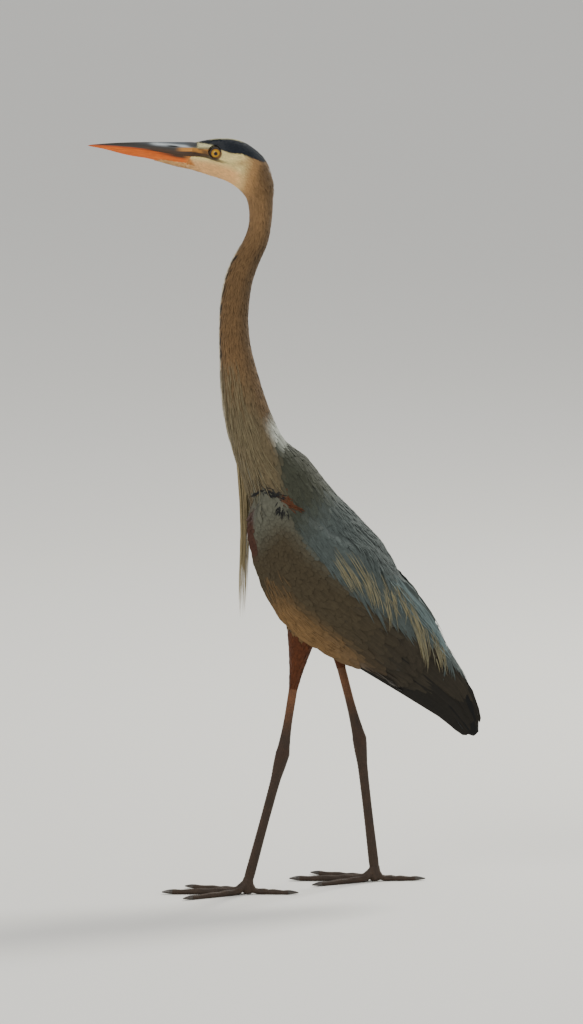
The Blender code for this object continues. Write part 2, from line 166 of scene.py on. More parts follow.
deselect()
bpy.ops.mesh.primitive_plane_add(size=FLOOR_SIZE)
floor = bpy.context.active_object
floor.name = "floor"
floor_paint = new_material("floor_paint", 0.85)
floor_grain = add_node(floor_paint, "ShaderNodeTexNoise", {"Scale": 40.0, "Detail": 3.0})
wire(floor_paint, mixed(floor_paint, floor_grain.outputs["Fac"],
                        tint(linear(222, 221, 216)), tint(linear(230, 229, 225))))
floor.data.materials.append(floor_paint)

sky = bpy.data.worlds.new("soft_room")
bpy.context.scene.world = sky
sky.use_nodes = True
glow = sky.node_tree.nodes["Background"]
glow.inputs["Color"].default_value = (0.96, 0.96, 0.95, 1.0)
glow.inputs["Strength"].default_value = 0.8


def add_panel(name, place, size, power, colour):
    """A square panel of soft light, turned towards the middle of the bird."""
    away = Vector(place) - AIM * MM
    turn = away.to_track_quat("Z", "Y").to_euler()
    bpy.ops.object.light_add(type="AREA", location=place, rotation=turn)
    panel = bpy.context.active_object
    panel.name = name
    panel.data.size = size
    panel.data.energy = power
    panel.data.color = colour


add_panel("key_panel", (-1.9, -2.6, 2.9), 1.8, 62.0, (1.0, 0.97, 0.91))
add_panel("fill_panel", (2.6, -3.4, 1.4), 2.4, 14.0, (0.92, 0.96, 1.0))
add_panel("rim_panel", (1.9, 1.7, 2.6), 0.9, 120.0, (1.0, 0.98, 0.90))

bpy.ops.object.camera_add(
    location=(AIM + CAMERA_AWAY * Vector((0, -math.cos(CAMERA_RISE), math.sin(CAMERA_RISE)))) * MM,
    rotation=(math.pi / 2 - CAMERA_RISE, 0, 0),
)
camera = bpy.context.active_object
camera.data.lens = camera.data.sensor_width * CAMERA_AWAY / VIEW_HEIGHT
camera.data.clip_end = 200.0
bpy.context.scene.camera = camera


# Skin -------------------------------------------------------------------------------------------
# The skin over the head, neck, body, folded arms and thighs, in one piece.  It lies as deep inside
# the outline as the plumage over it is thick, and it carries the plumage's own markings.

FLESH = ["head", "neck_upper", "neck_middle", "neck_lower", "trunk",
         "wing_left", "wing_right", "thigh_left", "thigh_right"]
SWELL = 0.4                     # closes the hair's breadth between two nodes
WELD = 1e-6                     # metres; points nearer than this are one
SKIN_VOXEL = 2.3
SKIN_SHADE = 0.8                # the skin lies in the feathers' shade, so it is darker than they are
SIDES = {"left": -1.0, "right": 1.0}

# The middle line of the bird in side view, from the root of the bill to the root of the tail.
MIDDLE_LINE = [
    (-128, 981), (-106, 980), (-86, 978), (-67, 972), (-50, 960), (-38, 942), (-32, 920),
    (-32, 895), (-37, 870), (-49, 845), (-60, 817), (-66, 785), (-67.5, 752), (-65, 718),
    (-59.5, 683), (-52, 648), (-42, 612), (-28, 573), (-8, 536), (14, 500), (44, 454),
    (78, 408), (116, 364), (150, 327), (182, 292),
]


CURVE_STEPS = 24                # between two given points


def curve_through(points, spacing):
    """Evenly spaced points on a smooth curve through the given ones."""
    points = np.array(points, float)
    padded = np.vstack([2 * points[0] - points[1], points, 2 * points[-1] - points[-2]])
    steps = np.linspace(0, 1, CURVE_STEPS, endpoint=False)[:, None]
    runs = []
    for before, start, end, after in zip(padded, padded[1:], padded[2:], padded[3:]):
        runs.append(
            start
            + 0.5 * (end - before) * steps
            + (before - 2.5 * start + 2 * end - 0.5 * after) * steps**2
            + 0.5 * (3 * start - 3 * end + after - before) * steps**3
        )
    dense = np.vstack(runs + [points[-1:]])
    travel = np.concatenate([[0], np.cumsum(np.linalg.norm(np.diff(dense, axis=0), axis=1))])
    places = np.arange(0, travel[-1], spacing)
    return np.stack([np.interp(places, travel, column) for column in dense.T], 1)


LINE_STEP = 2.0                 # between the rows of every table along the middle line
middle_line = curve_through(MIDDLE_LINE, LINE_STEP)
line_run = np.gradient(middle_line, axis=0)
line_run /= np.linalg.norm(line_run, axis=1)[:, None]
LINE_LENGTH = LINE_STEP * (len(middle_line) - 1)


def on_line(table, distance):
    """The row of a table along the middle line at each distance from the bill."""
    place = np.clip(np.asarray(distance) / LINE_STEP, 0, len(table) - 1)
    return np.stack([np.interp(place, np.arange(len(table)), column) for column in table.T], -1)


def spoke(distance, turn):
    """The way out from the middle line: turn 0 is the right side, 90 degrees is the back."""
    run = on_line(line_run, distance)
    up = np.sin(turn)
    return np.stack([-run[..., 1] * up, np.cos(turn), run[..., 0] * up], -1)


def with_side(flat, y):
    """A place in side view, as x and z, with its y put in between."""
    return np.stack([flat[..., 0], y, flat[..., 1]], -1)


def on_middle(distance):
    place = on_line(middle_line, distance)
    return with_side(place, np.zeros_like(place[..., 0]))


def fused(name, nodes, voxel, smoothing):
    """Copies of these nodes run together under one smooth, closed skin."""
    deselect()
    for node in nodes:
        copy = bpy.data.objects.new(name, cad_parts[node].data.copy())
        bpy.context.collection.objects.link(copy)
        copy.select_set(True)
    bpy.context.view_layer.objects.active = copy
    bpy.ops.object.join()
    bpy.ops.object.mode_set(mode="EDIT")
    bpy.ops.mesh.select_all(action="SELECT")
    bpy.ops.mesh.remove_doubles(threshold=WELD)
    bpy.ops.object.mode_set(mode="OBJECT")
    skin = bpy.context.active_object
    skin.name = name
    skin.data.materials.clear()
    swell = skin.modifiers.new("swell", "DISPLACE")
    swell.strength = SWELL * MM
    swell.mid_level = 0.0
    remesh = skin.modifiers.new("remesh", "REMESH")
    remesh.mode = "VOXEL"
    remesh.voxel_size = voxel * MM
    remesh.use_smooth_shade = True
    relax = skin.modifiers.new("relax", "SMOOTH")
    relax.factor = 0.5
    relax.iterations = smoothing
    for modifier in (swell, remesh, relax):
        bpy.ops.object.modifier_apply(modifier=modifier.name)
    select_only(skin)
    bpy.ops.object.mode_set(mode="EDIT")
    bpy.ops.mesh.separate(type="LOOSE")
    bpy.ops.object.mode_set(mode="OBJECT")
    pieces = sorted(bpy.context.selected_objects, key=lambda piece: len(piece.data.vertices))
    for crumb in pieces[:-1]:
        bpy.data.objects.remove(crumb)
    pieces[-1].name = name
    return pieces[-1]


def read_out(items, field, width, kind=np.float32):
    """One field of a mesh's points, edges or corners, a row for each."""
    found = np.empty(len(items) * width, kind)
    items.foreach_get(field, found)
    return found.reshape(-1, width)


def points_of(obj):
    """The object's points, in millimetres."""
    return read_out(obj.data.vertices, "co", 3).astype(float) / MM


def normals_of(obj):
    return read_out(obj.data.vertices, "normal", 3).astype(float)


def tree_of(obj):
    """The object's faces, ready for rays and for finding the nearest."""
    return BVHTree.FromObject(obj, bpy.context.evaluated_depsgraph_get())


def met(tree, start, way, farthest):
    """How far off a ray meets the tree's faces, in millimetres, or nan; its inputs are in metres."""
    found = tree.ray_cast(Vector(start), Vector(way), farthest)[3]
    return np.nan if found is None else found / MM


def move_points(obj, places):
    obj.data.vertices.foreach_set("co", (places * MM).astype(np.float32).ravel())
    obj.data.update()


def soft_step(value, start, end):
    """Runs smoothly from 0 where value is start to 1 where it is end."""
    share = np.clip((value - start) / (end - start), 0, 1)
    return share * share * (3 - 2 * share)


BATCH = 4000                    # points looked up at a time


def along_body(points):
    """Distance along the middle line, turn about it and distance from it, for each point."""
    flat = points[:, [0, 2]]
    nearest = np.empty(len(points), int)
    for start in range(0, len(points), BATCH):
        part = flat[start:start + BATCH, None, :] - middle_line[None]
        nearest[start:start + BATCH] = np.argmin((part**2).sum(2), axis=1)
    run = line_run[nearest]
    off = flat - middle_line[nearest]
    height = -run[:, 1] * off[:, 0] + run[:, 0] * off[:, 1]
    return nearest * LINE_STEP, np.arctan2(height, points[:, 1]), np.hypot(height, points[:, 1])


# The folded wing's own frame: u runs from the wrist back along the wing, v square to it, upwards.
WRIST = np.array([-38.0, 525.0])
SLOPE = math.radians(47.6)
WING_RUN = np.array([math.cos(SLOPE), -math.sin(SLOPE)])
WING_UP = np.array([math.sin(SLOPE), math.cos(SLOPE)])


# How far the folded wing reaches above and below its middle line, at each distance u.
WING_OUTLINE = (
    (-4, 5, 3), (0, 14, -6), (11, 23, -26), (30, 32, -41), (60, 40, -58), (95, 47, -73), (135, 62, -82),
    (175, 73, -77), (215, 73, -66), (260, 68, -53), (300, 58, -41), (335, 50, -28), (365, 45, -19),
    (395, 33, -15), (420, 20, -13), (431, 9, -6),
)


def from_wing_frame(u, v):
    """Where a place in the wing's frame lies in side view, as x and z."""
    return WRIST + u[..., None] * WING_RUN + v[..., None] * WING_UP


def in_wing_frame(points):
    off = points[:, [0, 2]] - WRIST
    return off @ WING_RUN, off @ WING_UP


def wing_edges(u):
    """The folded wing's upper and lower edges at u."""
    places, top, bottom = np.array(WING_OUTLINE, float).T
    return np.interp(u, places, top), np.interp(u, places, bottom)


UPPER_EDGE = (0.45, 9)          # the share that is drawn in, and how wide a strip it reaches
LOWER_EDGE = (0.38, 7)


def edges_drawn_in(points):
    """Moves points near the folded wing's two long edges inward, so that feathers cover the edges."""
    u, v = in_wing_frame(points)
    top, bottom = wing_edges(u)
    inward = UPPER_EDGE[0] * np.maximum(v - top + UPPER_EDGE[1], 0)
    inward = inward - LOWER_EDGE[0] * np.maximum(bottom + LOWER_EDGE[1] - v, 0)
    moved = points.copy()
    moved[:, [0, 2]] -= inward[:, None] * WING_UP
    return moved


# The bare lower end of each thigh's line: knee, then where its feathers stop.
THIGH_LINES = {
    "left": (np.array([31.0, -32.0, 420.0]), np.array([11.0, -39.0, 275.0])),
    "right": (np.array([44.0, 32.0, 424.0]), np.array([74.0, 39.0, 291.0])),
}


def thigh_distance(points):
    """How far each point is from the nearer thigh's line, and how far down that thigh it is."""
    best = np.full(len(points), 1e9)
    down = np.zeros(len(points))
    for knee, end in THIGH_LINES.values():
        run = end - knee
        share = np.clip((points - knee) @ run / (run @ run), 0, 1.1)
        away = np.linalg.norm(points - knee - share[:, None] * run, axis=1)
        down = np.where(away < best, share, down)
        best = np.minimum(best, away)
    return best, down


# Plumage colours, and the pattern that skin and feathers share.
CROWN = linear(28, 34, 42)
FOREHEAD = linear(216, 210, 160)
BROW_GREY = linear(118, 110, 88)
CHEEK = linear(232, 212, 146)
THROAT = linear(228, 178, 118)
JOWL = linear(166, 128, 84)
LORES = linear(186, 126, 52)
LORE_DARK = linear(84, 60, 36)
JAW_ORANGE = linear(190, 120, 52)
LORE_LINE = linear(44, 31, 20)
NECK = linear(110, 85, 57)
NAPE_SHADE = linear(96, 76, 53)
FORENECK = linear(206, 196, 172)
STREAK = linear(34, 31, 29)
LOW_NECK = linear(94, 83, 62)
BACK = linear(73, 81, 79)
SHOULDER = linear(55, 57, 47)
HIND_NECK_HIGHLIGHT = linear(184, 188, 178)
BREAST = linear(84, 72, 54)
BELLY = linear(56, 52, 48)
VENT = linear(70, 66, 60)
BLACK_PATCH = linear(28, 28, 28)
CHESTNUT = linear(78, 45, 25)
MAROON = linear(66, 38, 29)
WING_FRONT = linear(86, 86, 75)
WING_MIDDLE = linear(63, 55, 40)
WING_LOW = linear(120, 92, 58)
WING_STREAK = linear(116, 90, 58)
WING_REAR = linear(46, 41, 32)
FLIGHT = linear(14, 14, 14)
QUILL_BROWN = linear(29, 26, 21)
HORN_BASE = linear(70, 72, 74)
THIGH = linear(90, 49, 26)
# The lower edge of the black crown, as x and z.
CROWN_EDGE = ((-115, 998.0), (-104, 996.8), (-95, 995.2), (-84, 989.6), (-72, 985.6), (-54, 983.2),
              (-46, 979.4), (-37, 974.8), (-28, 971.8), (-10, 971.0))
EYE = (-91.0, 985.2)            # x and z
EYE_RIM = 7.5
LORES_FRONT = -131.0


def even(colour, points):
    """One colour for every point."""
    return np.tile(colour, (len(points), 1))


def lay_over(colours, where, colour):
    """Covers colours with another one, by a share at each point."""
    return colours + where[:, None] * (colour - colours)


def slate(points):
    """The colour of the back: olive-grey on the shoulders and blue-grey behind them."""
    return lay_over(even(SHOULDER, points), soft_step(in_wing_frame(points)[0], 40, 105), BACK)


def bare_jaw(points):
    """Where the root of the lower jaw is bare orange skin, in front of the cheek's feathers."""
    x, z = points[:, 0], points[:, 2]
    return (x < -122.5 + 0.66 * (978.5 - z)) & (z > 967.2 + 0.15 * (-116 - x)) & (z < 980.3)


def bare_face(points):
    """Where the face has no feathers: the lores from bill to eye, and the rim of the eye."""
    x, z = points[:, 0], points[:, 2]
    along = (x - LORES_FRONT) / (EYE[0] - LORES_FRONT)
    middle = 985.8 + 0.2 * along
    half = 6.2 - 3.2 * along
    lores = (x < EYE[0]) & (np.abs(z - middle) < half) & (np.abs(points[:, 1]) > 5)
    rim = (np.hypot(x - EYE[0], z - EYE[1]) < EYE_RIM) & (np.abs(points[:, 1]) > 8)
    return lores | rim | bare_jaw(points)


# The markings.  In each soft_step the two numbers say where on the bird a marking starts and where
# it is full.  front runs from -1 on the bird's back to 1 on its underside and the front of its neck.


def body_markings(points, distance, front):
    """A grey-brown neck with painted shade and a painted highlight on its back, a streaked white line
    down its front, a slate back, a dark belly.
    """
    x, y, z = points.T
    # The back of the neck is painted darker: painted shade.
    colours = lay_over(even(NECK, points), soft_step(-front, 0.1, 0.9), NAPE_SHADE)
    colours = colours * np.interp(z, (690, 760, 850, 890, 930), (1, 0.84, 0.84, 1.26, 1.26))[:, None]
    low = soft_step(z, 720, 610) * soft_step(front, -1.0, -0.4)
    colours = lay_over(colours, low, LOW_NECK)
    stripe = soft_step(front, 0.955, 0.985) * soft_step(z, 872, 838) * soft_step(z, 560, 640)
    colours = lay_over(colours, stripe, FORENECK)
    broken = soft_step(np.sin(z * 0.29 + y * 0.6) + 0.6 * np.sin(z * 0.113 + 1.3), -0.2, 0.5)
    edge = soft_step(front, 0.86, 0.94) * soft_step(front, 0.995, 0.97)
    streaks = edge * broken * soft_step(z, 866, 842) * soft_step(z, 600, 650)
    colours = lay_over(colours, 0.9 * streaks, STREAK)

    on_back = soft_step(x + 0.16 * (z - 560), -14, 4) * (z < 640)
    colours = lay_over(colours, on_back * soft_step(front, 0.75, 0.1), slate(points))
    # A pale patch low on the back of the neck: a painted highlight, where light falls on it.
    down_neck = 0.44 * (x + 10) - 0.90 * (z - 608)
    inward = -0.90 * (x + 10) - 0.44 * (z - 608)
    hind = soft_step(down_neck, -34, -4) * soft_step(down_neck, 32, 2) * soft_step(inward, 14, 0)
    colours = lay_over(colours, 0.7 * hind * (front < 0), HIND_NECK_HIGHLIGHT)
    under = soft_step(distance, 470, 540) * soft_step(front, 0.15, 0.6)
    colours = lay_over(colours, under, BREAST)
    colours = lay_over(colours, under * soft_step(distance, 520, 580), BELLY)
    return lay_over(colours, under * soft_step(distance, 700, 760), VENT)


def wing_markings(points, colours):
    """The folded wing, the maroon under its bend, the black and rust marks above, the black line along
    the crease partly painted shade, and the thigh.
    """
    side = np.abs(points[:, 1])
    u, v = in_wing_frame(points)
    top, bottom = wing_edges(u)
    on_wing = (u > -3) & (side > np.interp(u, (190, 330), (30, 3))) & (v < top + 3) & (v > bottom - 9)
    across = (v - bottom) / np.maximum(top - bottom, 1)
    middle = soft_step(across, 0.9, 0.5) * soft_step(u, 22, 68)
    wing = lay_over(even(WING_FRONT, points), middle, WING_MIDDLE)
    wing = lay_over(wing, 0.8 * soft_step(across, 0.30, 0.05) * soft_step(u, 90, 150), WING_LOW)
    wing = lay_over(wing, soft_step(u, 190, 320), WING_REAR)
    hidden = np.interp(u, (20, 60, 110, 180, 250, 330), (26, 14, 10, 14, 24, 42))
    wing = lay_over(wing, soft_step(v - hidden, -2, 5) * soft_step(u, 26, 46), 0.94 * slate(points))
    colours = np.where(on_wing[:, None], wing, colours)
    maroon = on_wing * soft_step(v - bottom, 13, 8) * soft_step(u, 64, 48) * soft_step(u, 4, 12)
    colours = lay_over(colours, 0.9 * maroon, MAROON)

    # A black line along the crease above the wing's bend: partly the black feathers there, partly painted
    # shade in the crease.
    crease = v - 20 - 0.68 * (u - 3)
    crease = np.exp(-(crease / 3.5) ** 2) * soft_step(u, -12, -4) * soft_step(u, 22, 14) * (side > 22)
    colours = lay_over(colours, 0.85 * crease, BLACK_PATCH)
    slope = v - 30 - 0.33 * (u - 30)
    rust = np.exp(-((u - 32) / 13) ** 2 - (slope / 3.4) ** 2) * (side > 22)
    colours = lay_over(colours, 0.95 * soft_step(rust, 0.30, 0.55), CHESTNUT)

    away, down = thigh_distance(points)
    thigh = soft_step(away, 34, 25) * soft_step(down, 0.25, 0.45) * (side > 14) * (v < -20) * ~on_wing
    return lay_over(colours, thigh, THIGH)


def head_markings(points, colours, front):
    """Pale cheek and throat, the grey brow, and the black crown with its white middle."""
    x, y, z = points.T
    side = np.abs(y)
    behind = 0.949 * (x + 54) - 0.316 * (z - 951)
    colours = lay_over(colours, 0.9 * soft_step(behind, 24, 4) * (z > 890), JOWL)
    face = soft_step(behind, 9, -14) * (z > 900)
    colours = lay_over(colours, face, CHEEK)
    colours = lay_over(colours, face * soft_step(front, 0.05, 0.6), THROAT)
    smudge = np.exp(-((x + 57) / 13) ** 2 - ((z - 972 - 0.25 * (x + 57)) / 4.5) ** 2)
    colours = lay_over(colours, 0.6 * smudge, JOWL)
    brow = face * soft_step(x, -92, -98) * soft_step(z, 987.5, 989)
    colours = lay_over(colours, 0.8 * brow, BROW_GREY)
    colours = lay_over(colours, brow * soft_step(x, -117, -112) * soft_step(z, 991.6, 993.4), FOREHEAD)
    edge_x, edge_z = np.array(CROWN_EDGE).T
    crown = soft_step(z - np.interp(x, edge_x, edge_z), -0.9, 0.9) * (z > 930)
    crown = crown * soft_step(x, -115, -112) * soft_step(x, -8, -13)
    middle = 0.6 * soft_step(side, 3.8, 2.2) * soft_step(x, -50, -62)
    middle = middle * soft_step(x, -101, -95) * (z > 985)
    colours = lay_over(colours, crown, CROWN)
    return lay_over(colours, crown * middle, FOREHEAD)


def bare_markings(points, colours):
    """The bare skin of the face: lores, eye rim and jaw, with the dark line along the gape."""
    x, y, z = points.T
    side = np.abs(y)
    gape_x = (-131, -118, -104, -97, -84, -66)
    line_z = np.interp(x, gape_x, (983.0, 983.2, 981.8, 979.4, 975.0, 970.6))
    thick = np.interp(x, (-131, -118, -97, -84, -66), (3.4, 2.8, 2.5, 1.9, 0.9))
    gape = soft_step(np.abs(z - line_z), thick + 0.5, thick - 0.6) * (x < -66) * (side > 5)
    gape = gape * (z > 960) * soft_step(x, -62, -96)
    jaw = bare_jaw(points)
    from_eye = np.hypot(x - EYE[0], z - EYE[1])
    bare = bare_face(points) & (from_eye > 1) & ~jaw
    blotch = soft_step(np.sin(0.4 * x + 0.7 * z) + 0.4 * np.sin(0.6 * x - 0.8 * z), -0.9, 1.3)
    colours = lay_over(colours, bare, LORES)
    colours = lay_over(colours, 0.6 * bare * blotch, LORE_DARK)
    colours = lay_over(colours, 0.8 * soft_step(from_eye, 9.0, 7.6) * (side > 7), LORE_DARK)
    jaw_edge = x + 122.5 - 0.66 * (978.5 - z)
    colours = lay_over(colours, jaw * soft_step(jaw_edge, 0.5, -6.0), JAW_ORANGE)
    colours = lay_over(colours, 0.92 * gape, LORE_LINE)
    shadow = np.exp(-((x + 105) / 5.5) ** 2 - ((z - 984.5) / 4.0) ** 2) * (side > 5)
    colours = lay_over(colours, 0.75 * shadow, LORE_DARK)
    horn = soft_step(x, -112, -117) * soft_step(z, 991.0, 993.0)
    return lay_over(colours, horn, HORN_BASE)


def plumage_at(points):
    """The plumage's colour at each point of the bird."""
    distance, turn, _ = along_body(points)
    front = -np.sin(turn)
    colours = body_markings(points, distance, front)
    colours = wing_markings(points, colours)
    colours = head_markings(points, colours, front)
    return bare_markings(points, colours)


def set_colours(mesh, name, colours):
    """Stores one colour for each point of a mesh."""
    values = np.ones((len(colours), 4), np.float32)
    values[:, :3] = colours
    mesh.attributes.new(name, "FLOAT_COLOR", "POINT").data.foreach_set("color", values.ravel())


def set_uv(mesh, name, places, corners):
    """Stores a UV map: each corner takes the place of its point."""
    mesh.uv_layers.new(name=name).data.foreach_set("uv", places[corners].astype(np.float32).ravel())


def hand_over(piece, slot, *nodes):
    """Rides a finished piece on the bird in place of the nodes that it stands for; slot is not used."""
    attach(piece, "root")
    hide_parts(*nodes)


MOST_SUNK = 0.34                # of the thickness at any place


def sunk(piece, depth):
    """Draws a skin inward by a depth at each point, but never near the middle of a thin place."""
    outer, outward = points_of(piece), normals_of(piece)
    tree = tree_of(piece)
    depth = np.broadcast_to(depth, len(outer)).copy()
    for index in range(len(outer)):
        start = Vector((outer[index] - outward[index] * 0.5) * MM)
        _, _, _, reach = tree.ray_cast(start, Vector(-outward[index]), 0.04)
        if reach is not None:
            depth[index] = min(depth[index], MOST_SUNK * reach / MM)
    move_points(piece, outer - outward * depth[:, None])


# How thick the coat lies over the skin: distances from the bill, and the depth at each.
COAT_DEPTH = ((0, 60, 120, 300, 430, 520, 800), (0.9, 1.2, 1.8, 2.4, 3.4, 4.6, 4.6))
THIGH_COAT = 1.6

skin = fused("skin", FLESH, SKIN_VOXEL, 7)
outer = points_of(skin)
distance = along_body(outer)[0]
depth = np.interp(distance, *COAT_DEPTH)
thigh_away, thigh_down = thigh_distance(outer)
depth = np.where((thigh_away < 30) & (thigh_down > 0.35), THIGH_COAT, depth)
sunk(skin, depth + SWELL)
select_only(skin)
settle = skin.modifiers.new("settle", "SMOOTH")
settle.factor = 0.5
settle.iterations = 4
bpy.ops.object.modifier_apply(modifier="settle")
for part in (skin.data.polygons, skin.data.edges, skin.data.vertices):
    part.foreach_set("select", np.zeros(len(part), bool))
settled = points_of(skin)
u, v = in_wing_frame(settled)
on_edge = soft_step(u, 150, 190) * soft_step(np.abs(settled[:, 1]), 8, 14)
on_edge = on_edge * soft_step(thigh_distance(settled)[0], 24, 32)
settled += on_edge[:, None] * (edges_drawn_in(settled) - settled)
move_points(skin, settled)
x, y, z = settled.T
on_face = (x < -78) & (z > 963) & (z < 996) & (np.abs(y) > 4)
skin.data.vertices.foreach_set("select", on_face)
bpy.ops.object.mode_set(mode="EDIT")
bpy.ops.mesh.subdivide(number_cuts=2, ngon=False)
bpy.ops.object.mode_set(mode="OBJECT")
set_colours(skin.data, "plumage", plumage_at(points_of(skin)) * SKIN_SHADE)

skin_finish = new_material("skin_down", 0.9, Sheen_Weight=0.15)
skin_fluff = cloudy(skin_finish, place_on(skin_finish), 420.0, 5.0)
skin_shade = mixed(skin_finish, skin_fluff, grey(0.55), grey(1.3))
skin_colour = mixed(skin_finish, 1.0, stored(skin_finish, "plumage"), skin_shade, "MULTIPLY")
wire(skin_finish, skin_colour, skin_fluff, 0.0006, 0.6)
skin.data.materials.append(skin_finish)
hand_over(skin, "slate_plumage", *FLESH)


# Plumage on the head, neck and body -------------------------------------------------------------
# Contour feathers rooted in the skin in staggered rings, each a thin closed vane that lies back
# over the next one and follows the form under it: hair-fine on the face, long and lax on the back.

SPOKES = 96
RING_STEP = 3.0
BAKE_PATCH = 0.003              # the size of one feather's own patch in the coat's UV map
skin_tree = tree_of(skin)
ring_places = np.arange(0, LINE_LENGTH, RING_STEP)
spoke_turns = np.arange(SPOKES) / SPOKES * math.tau - math.pi


def measured(rows, columns, probe):
    """A table of what probe finds at each pair of measures."""
    return np.array([[probe(row, column) for column in columns] for row in rows], float)


def body_probe(place, angle):
    """How far the skin lies from the middle line: seen from inside, or from well outside the trunk."""
    centre, way = on_middle(place), spoke(place, angle)
    outside = float(np.interp(place, (430, 520, 800), (0, 130, 130)))
    if outside > 60:
        return outside - met(skin_tree, (centre + way * outside) * MM, -way, outside * MM)
    return met(skin_tree, centre * MM, way, 0.15)


def filled(table):
    """The table with its gaps filled from the rows before them."""
    for row in range(1, len(table)):
        table[row] = np.where(np.isnan(table[row]), table[row - 1], table[row])
    return np.nan_to_num(table, nan=float(np.nanmedian(table)))


def blurred(table, times, wrap):
    """The table with each number eased towards its neighbours."""
    for _ in range(times):
        padded = np.pad(table, ((1, 1), (0, 0)), mode="edge")
        table = 0.25 * padded[:-2] + 0.5 * table + 0.25 * padded[2:]
        sides = np.pad(table, ((0, 0), (1, 1)), mode="wrap" if wrap else "edge")
        table = 0.25 * sides[:, :-2] + 0.5 * table + 0.25 * sides[:, 2:]
    return table


body_reach = blurred(filled(measured(ring_places, spoke_turns, body_probe)), 2, True)


def looked_up(table, row, column, wrap):
    """A table read between its entries, on a smooth-enough bilinear patch."""
    row = np.clip(row, 0, len(table) - 1.001)
    i = row.astype(int)
    f = row - i
    width = table.shape[1]
    if wrap:
        column = np.mod(column, width)
        j = np.minimum(column.astype(int), width - 1)
        k = (j + 1) % width
    else:
        column = np.clip(column, 0, width - 1.001)
        j = column.astype(int)
        k = j + 1
    g = column - j
    near = table[i, j] * (1 - g) + table[i, k] * g
    far = table[i + 1, j] * (1 - g) + table[i + 1, k] * g
    return near * (1 - f) + far * f


def body_point(place, angle):
    reach = looked_up(body_reach, place / RING_STEP, (angle + math.pi) / math.tau * SPOKES, True)
    return on_middle(place) + reach[..., None] * spoke(place, angle)


def unit(vectors):
    return vectors / np.maximum(np.linalg.norm(vectors, axis=-1, keepdims=True), 1e-9)


def faced(point_at, first, second, step, other_step, sign):
    """Points of a surface and the way out from it, given what finds a point from two measures."""
    along = point_at(first + step, second) - point_at(first - step, second)
    across = point_at(first, second + other_step) - point_at(first, second - other_step)
    return point_at(first, second), sign * unit(np.cross(along, across))


def body_surface(place, angle):
    return faced(body_point, place, angle, 4, 0.1, -1.0)


def body_unwrap(place, angle):
    """Where a root lies on the unrolled skin, from 0 to 1."""
    return np.stack([0.02 + 0.96 * (angle + math.pi) / math.tau, 0.02 + 0.96 * place / LINE_LENGTH], -1)


# A feather's outline from root to tip: share of its length, then share of its half width.
ROUND_TIP = ((0.0, 0.35), (0.30, 0.85), (0.60, 1.0), (0.80, 0.92), (0.92, 0.68), (0.98, 0.34))
FINE_TIP = ((0.0, 0.40), (0.30, 0.90), (0.60, 1.0), (0.86, 0.66))
LANCE = ((0.0, 0.30), (0.14, 0.80), (0.34, 1.0), (0.58, 0.80), (0.80, 0.42), (0.93, 0.16))


SHARP_VANE = math.radians(75)   # an edge of a vane that turns more than this stays sharp


def add_vanes(name, spine, outward, half_width, thickness, camber, colours, roots, edge_gain=0.9):
    """A mesh of feathers: each a closed vane of three long faces round a spine of points.

    spine and outward are (feathers, stations, 3), the last station being the tip; half_width is
    (feathers, stations) and colours (feathers, stations, 3).
    """
    count, stations, _ = spine.shape
    rings = stations - 1
    run = unit(np.gradient(spine, axis=1))
    left = unit(np.cross(outward, run))
    reach = half_width[..., None]
    sink = outward * camber * reach
    sides = [spine + left * reach - sink, spine + outward * thickness, spine - left * reach - sink]
    body = np.stack([side[:, :rings] for side in sides], 2).reshape(count, rings * 3, 3)
    places = np.concatenate([body, spine[:, rings:] - outward[:, rings:] * 0.05], 1)
    per = rings * 3 + 1
    quads = []
    for ring in range(rings - 1):
        low, high = ring * 3, ring * 3 + 3
        quads += [(low, low + 1, high + 1, high), (low + 1, low + 2, high + 2, high + 1),
                  (low + 2, low, high, high + 2)]
    last, tip = (rings - 1) * 3, rings * 3
    ends = [(0, 2, 1), (last, last + 1, tip), (last + 1, last + 2, tip), (last + 2, last, tip)]
    offsets = (np.arange(count) * per)[:, None, None]
    quad_corners = (np.array(quads)[None] + offsets).reshape(count, -1)
    end_corners = (np.array(ends)[None] + offsets).reshape(count, -1)
    corners = np.concatenate([quad_corners, end_corners], 1).ravel()
    sizes = np.tile([4] * len(quads) + [3] * len(ends), count)

    mesh = bpy.data.meshes.new(name)
    mesh.vertices.add(count * per)
    mesh.vertices.foreach_set("co", (places * MM).astype(np.float32).ravel())
    mesh.loops.add(len(corners))
    mesh.loops.foreach_set("vertex_index", corners.astype(np.int32))
    mesh.polygons.add(len(sizes))
    starts = np.concatenate([[0], np.cumsum(sizes)[:-1]])
    mesh.polygons.foreach_set("loop_start", starts.astype(np.int32))
    mesh.update(calc_edges=True)
    mesh.shade_smooth()
    mesh.set_sharp_from_angle(angle=SHARP_VANE)

    travel = np.linspace(0, 1, stations)
    across = np.concatenate([np.tile([0.0, 0.5, 1.0], rings), [0.5]])
    up = np.concatenate([np.repeat(travel[:rings], 3), [1.0]])
    vane_uv = np.tile(np.stack([across, up], 1), (count, 1))
    patch = (np.stack([across, up], 1) - 0.5) * BAKE_PATCH
    bake_uv = (roots[:, None, :] + patch[None]).reshape(-1, 2)
    set_uv(mesh, "OFBake", bake_uv, corners)
    set_uv(mesh, "vane", vane_uv, corners)
    gains = np.array([edge_gain, 1.0, edge_gain])[None, None, :, None]
    body_colours = (colours[:, :rings, None, :] * gains).reshape(count, rings * 3, 3)
    set_colours(mesh, "plumage", np.concatenate([body_colours, colours[:, rings:]], 1).reshape(-1, 3))
    piece = bpy.data.objects.new(name, mesh)
    bpy.context.collection.objects.link(piece)
    return piece


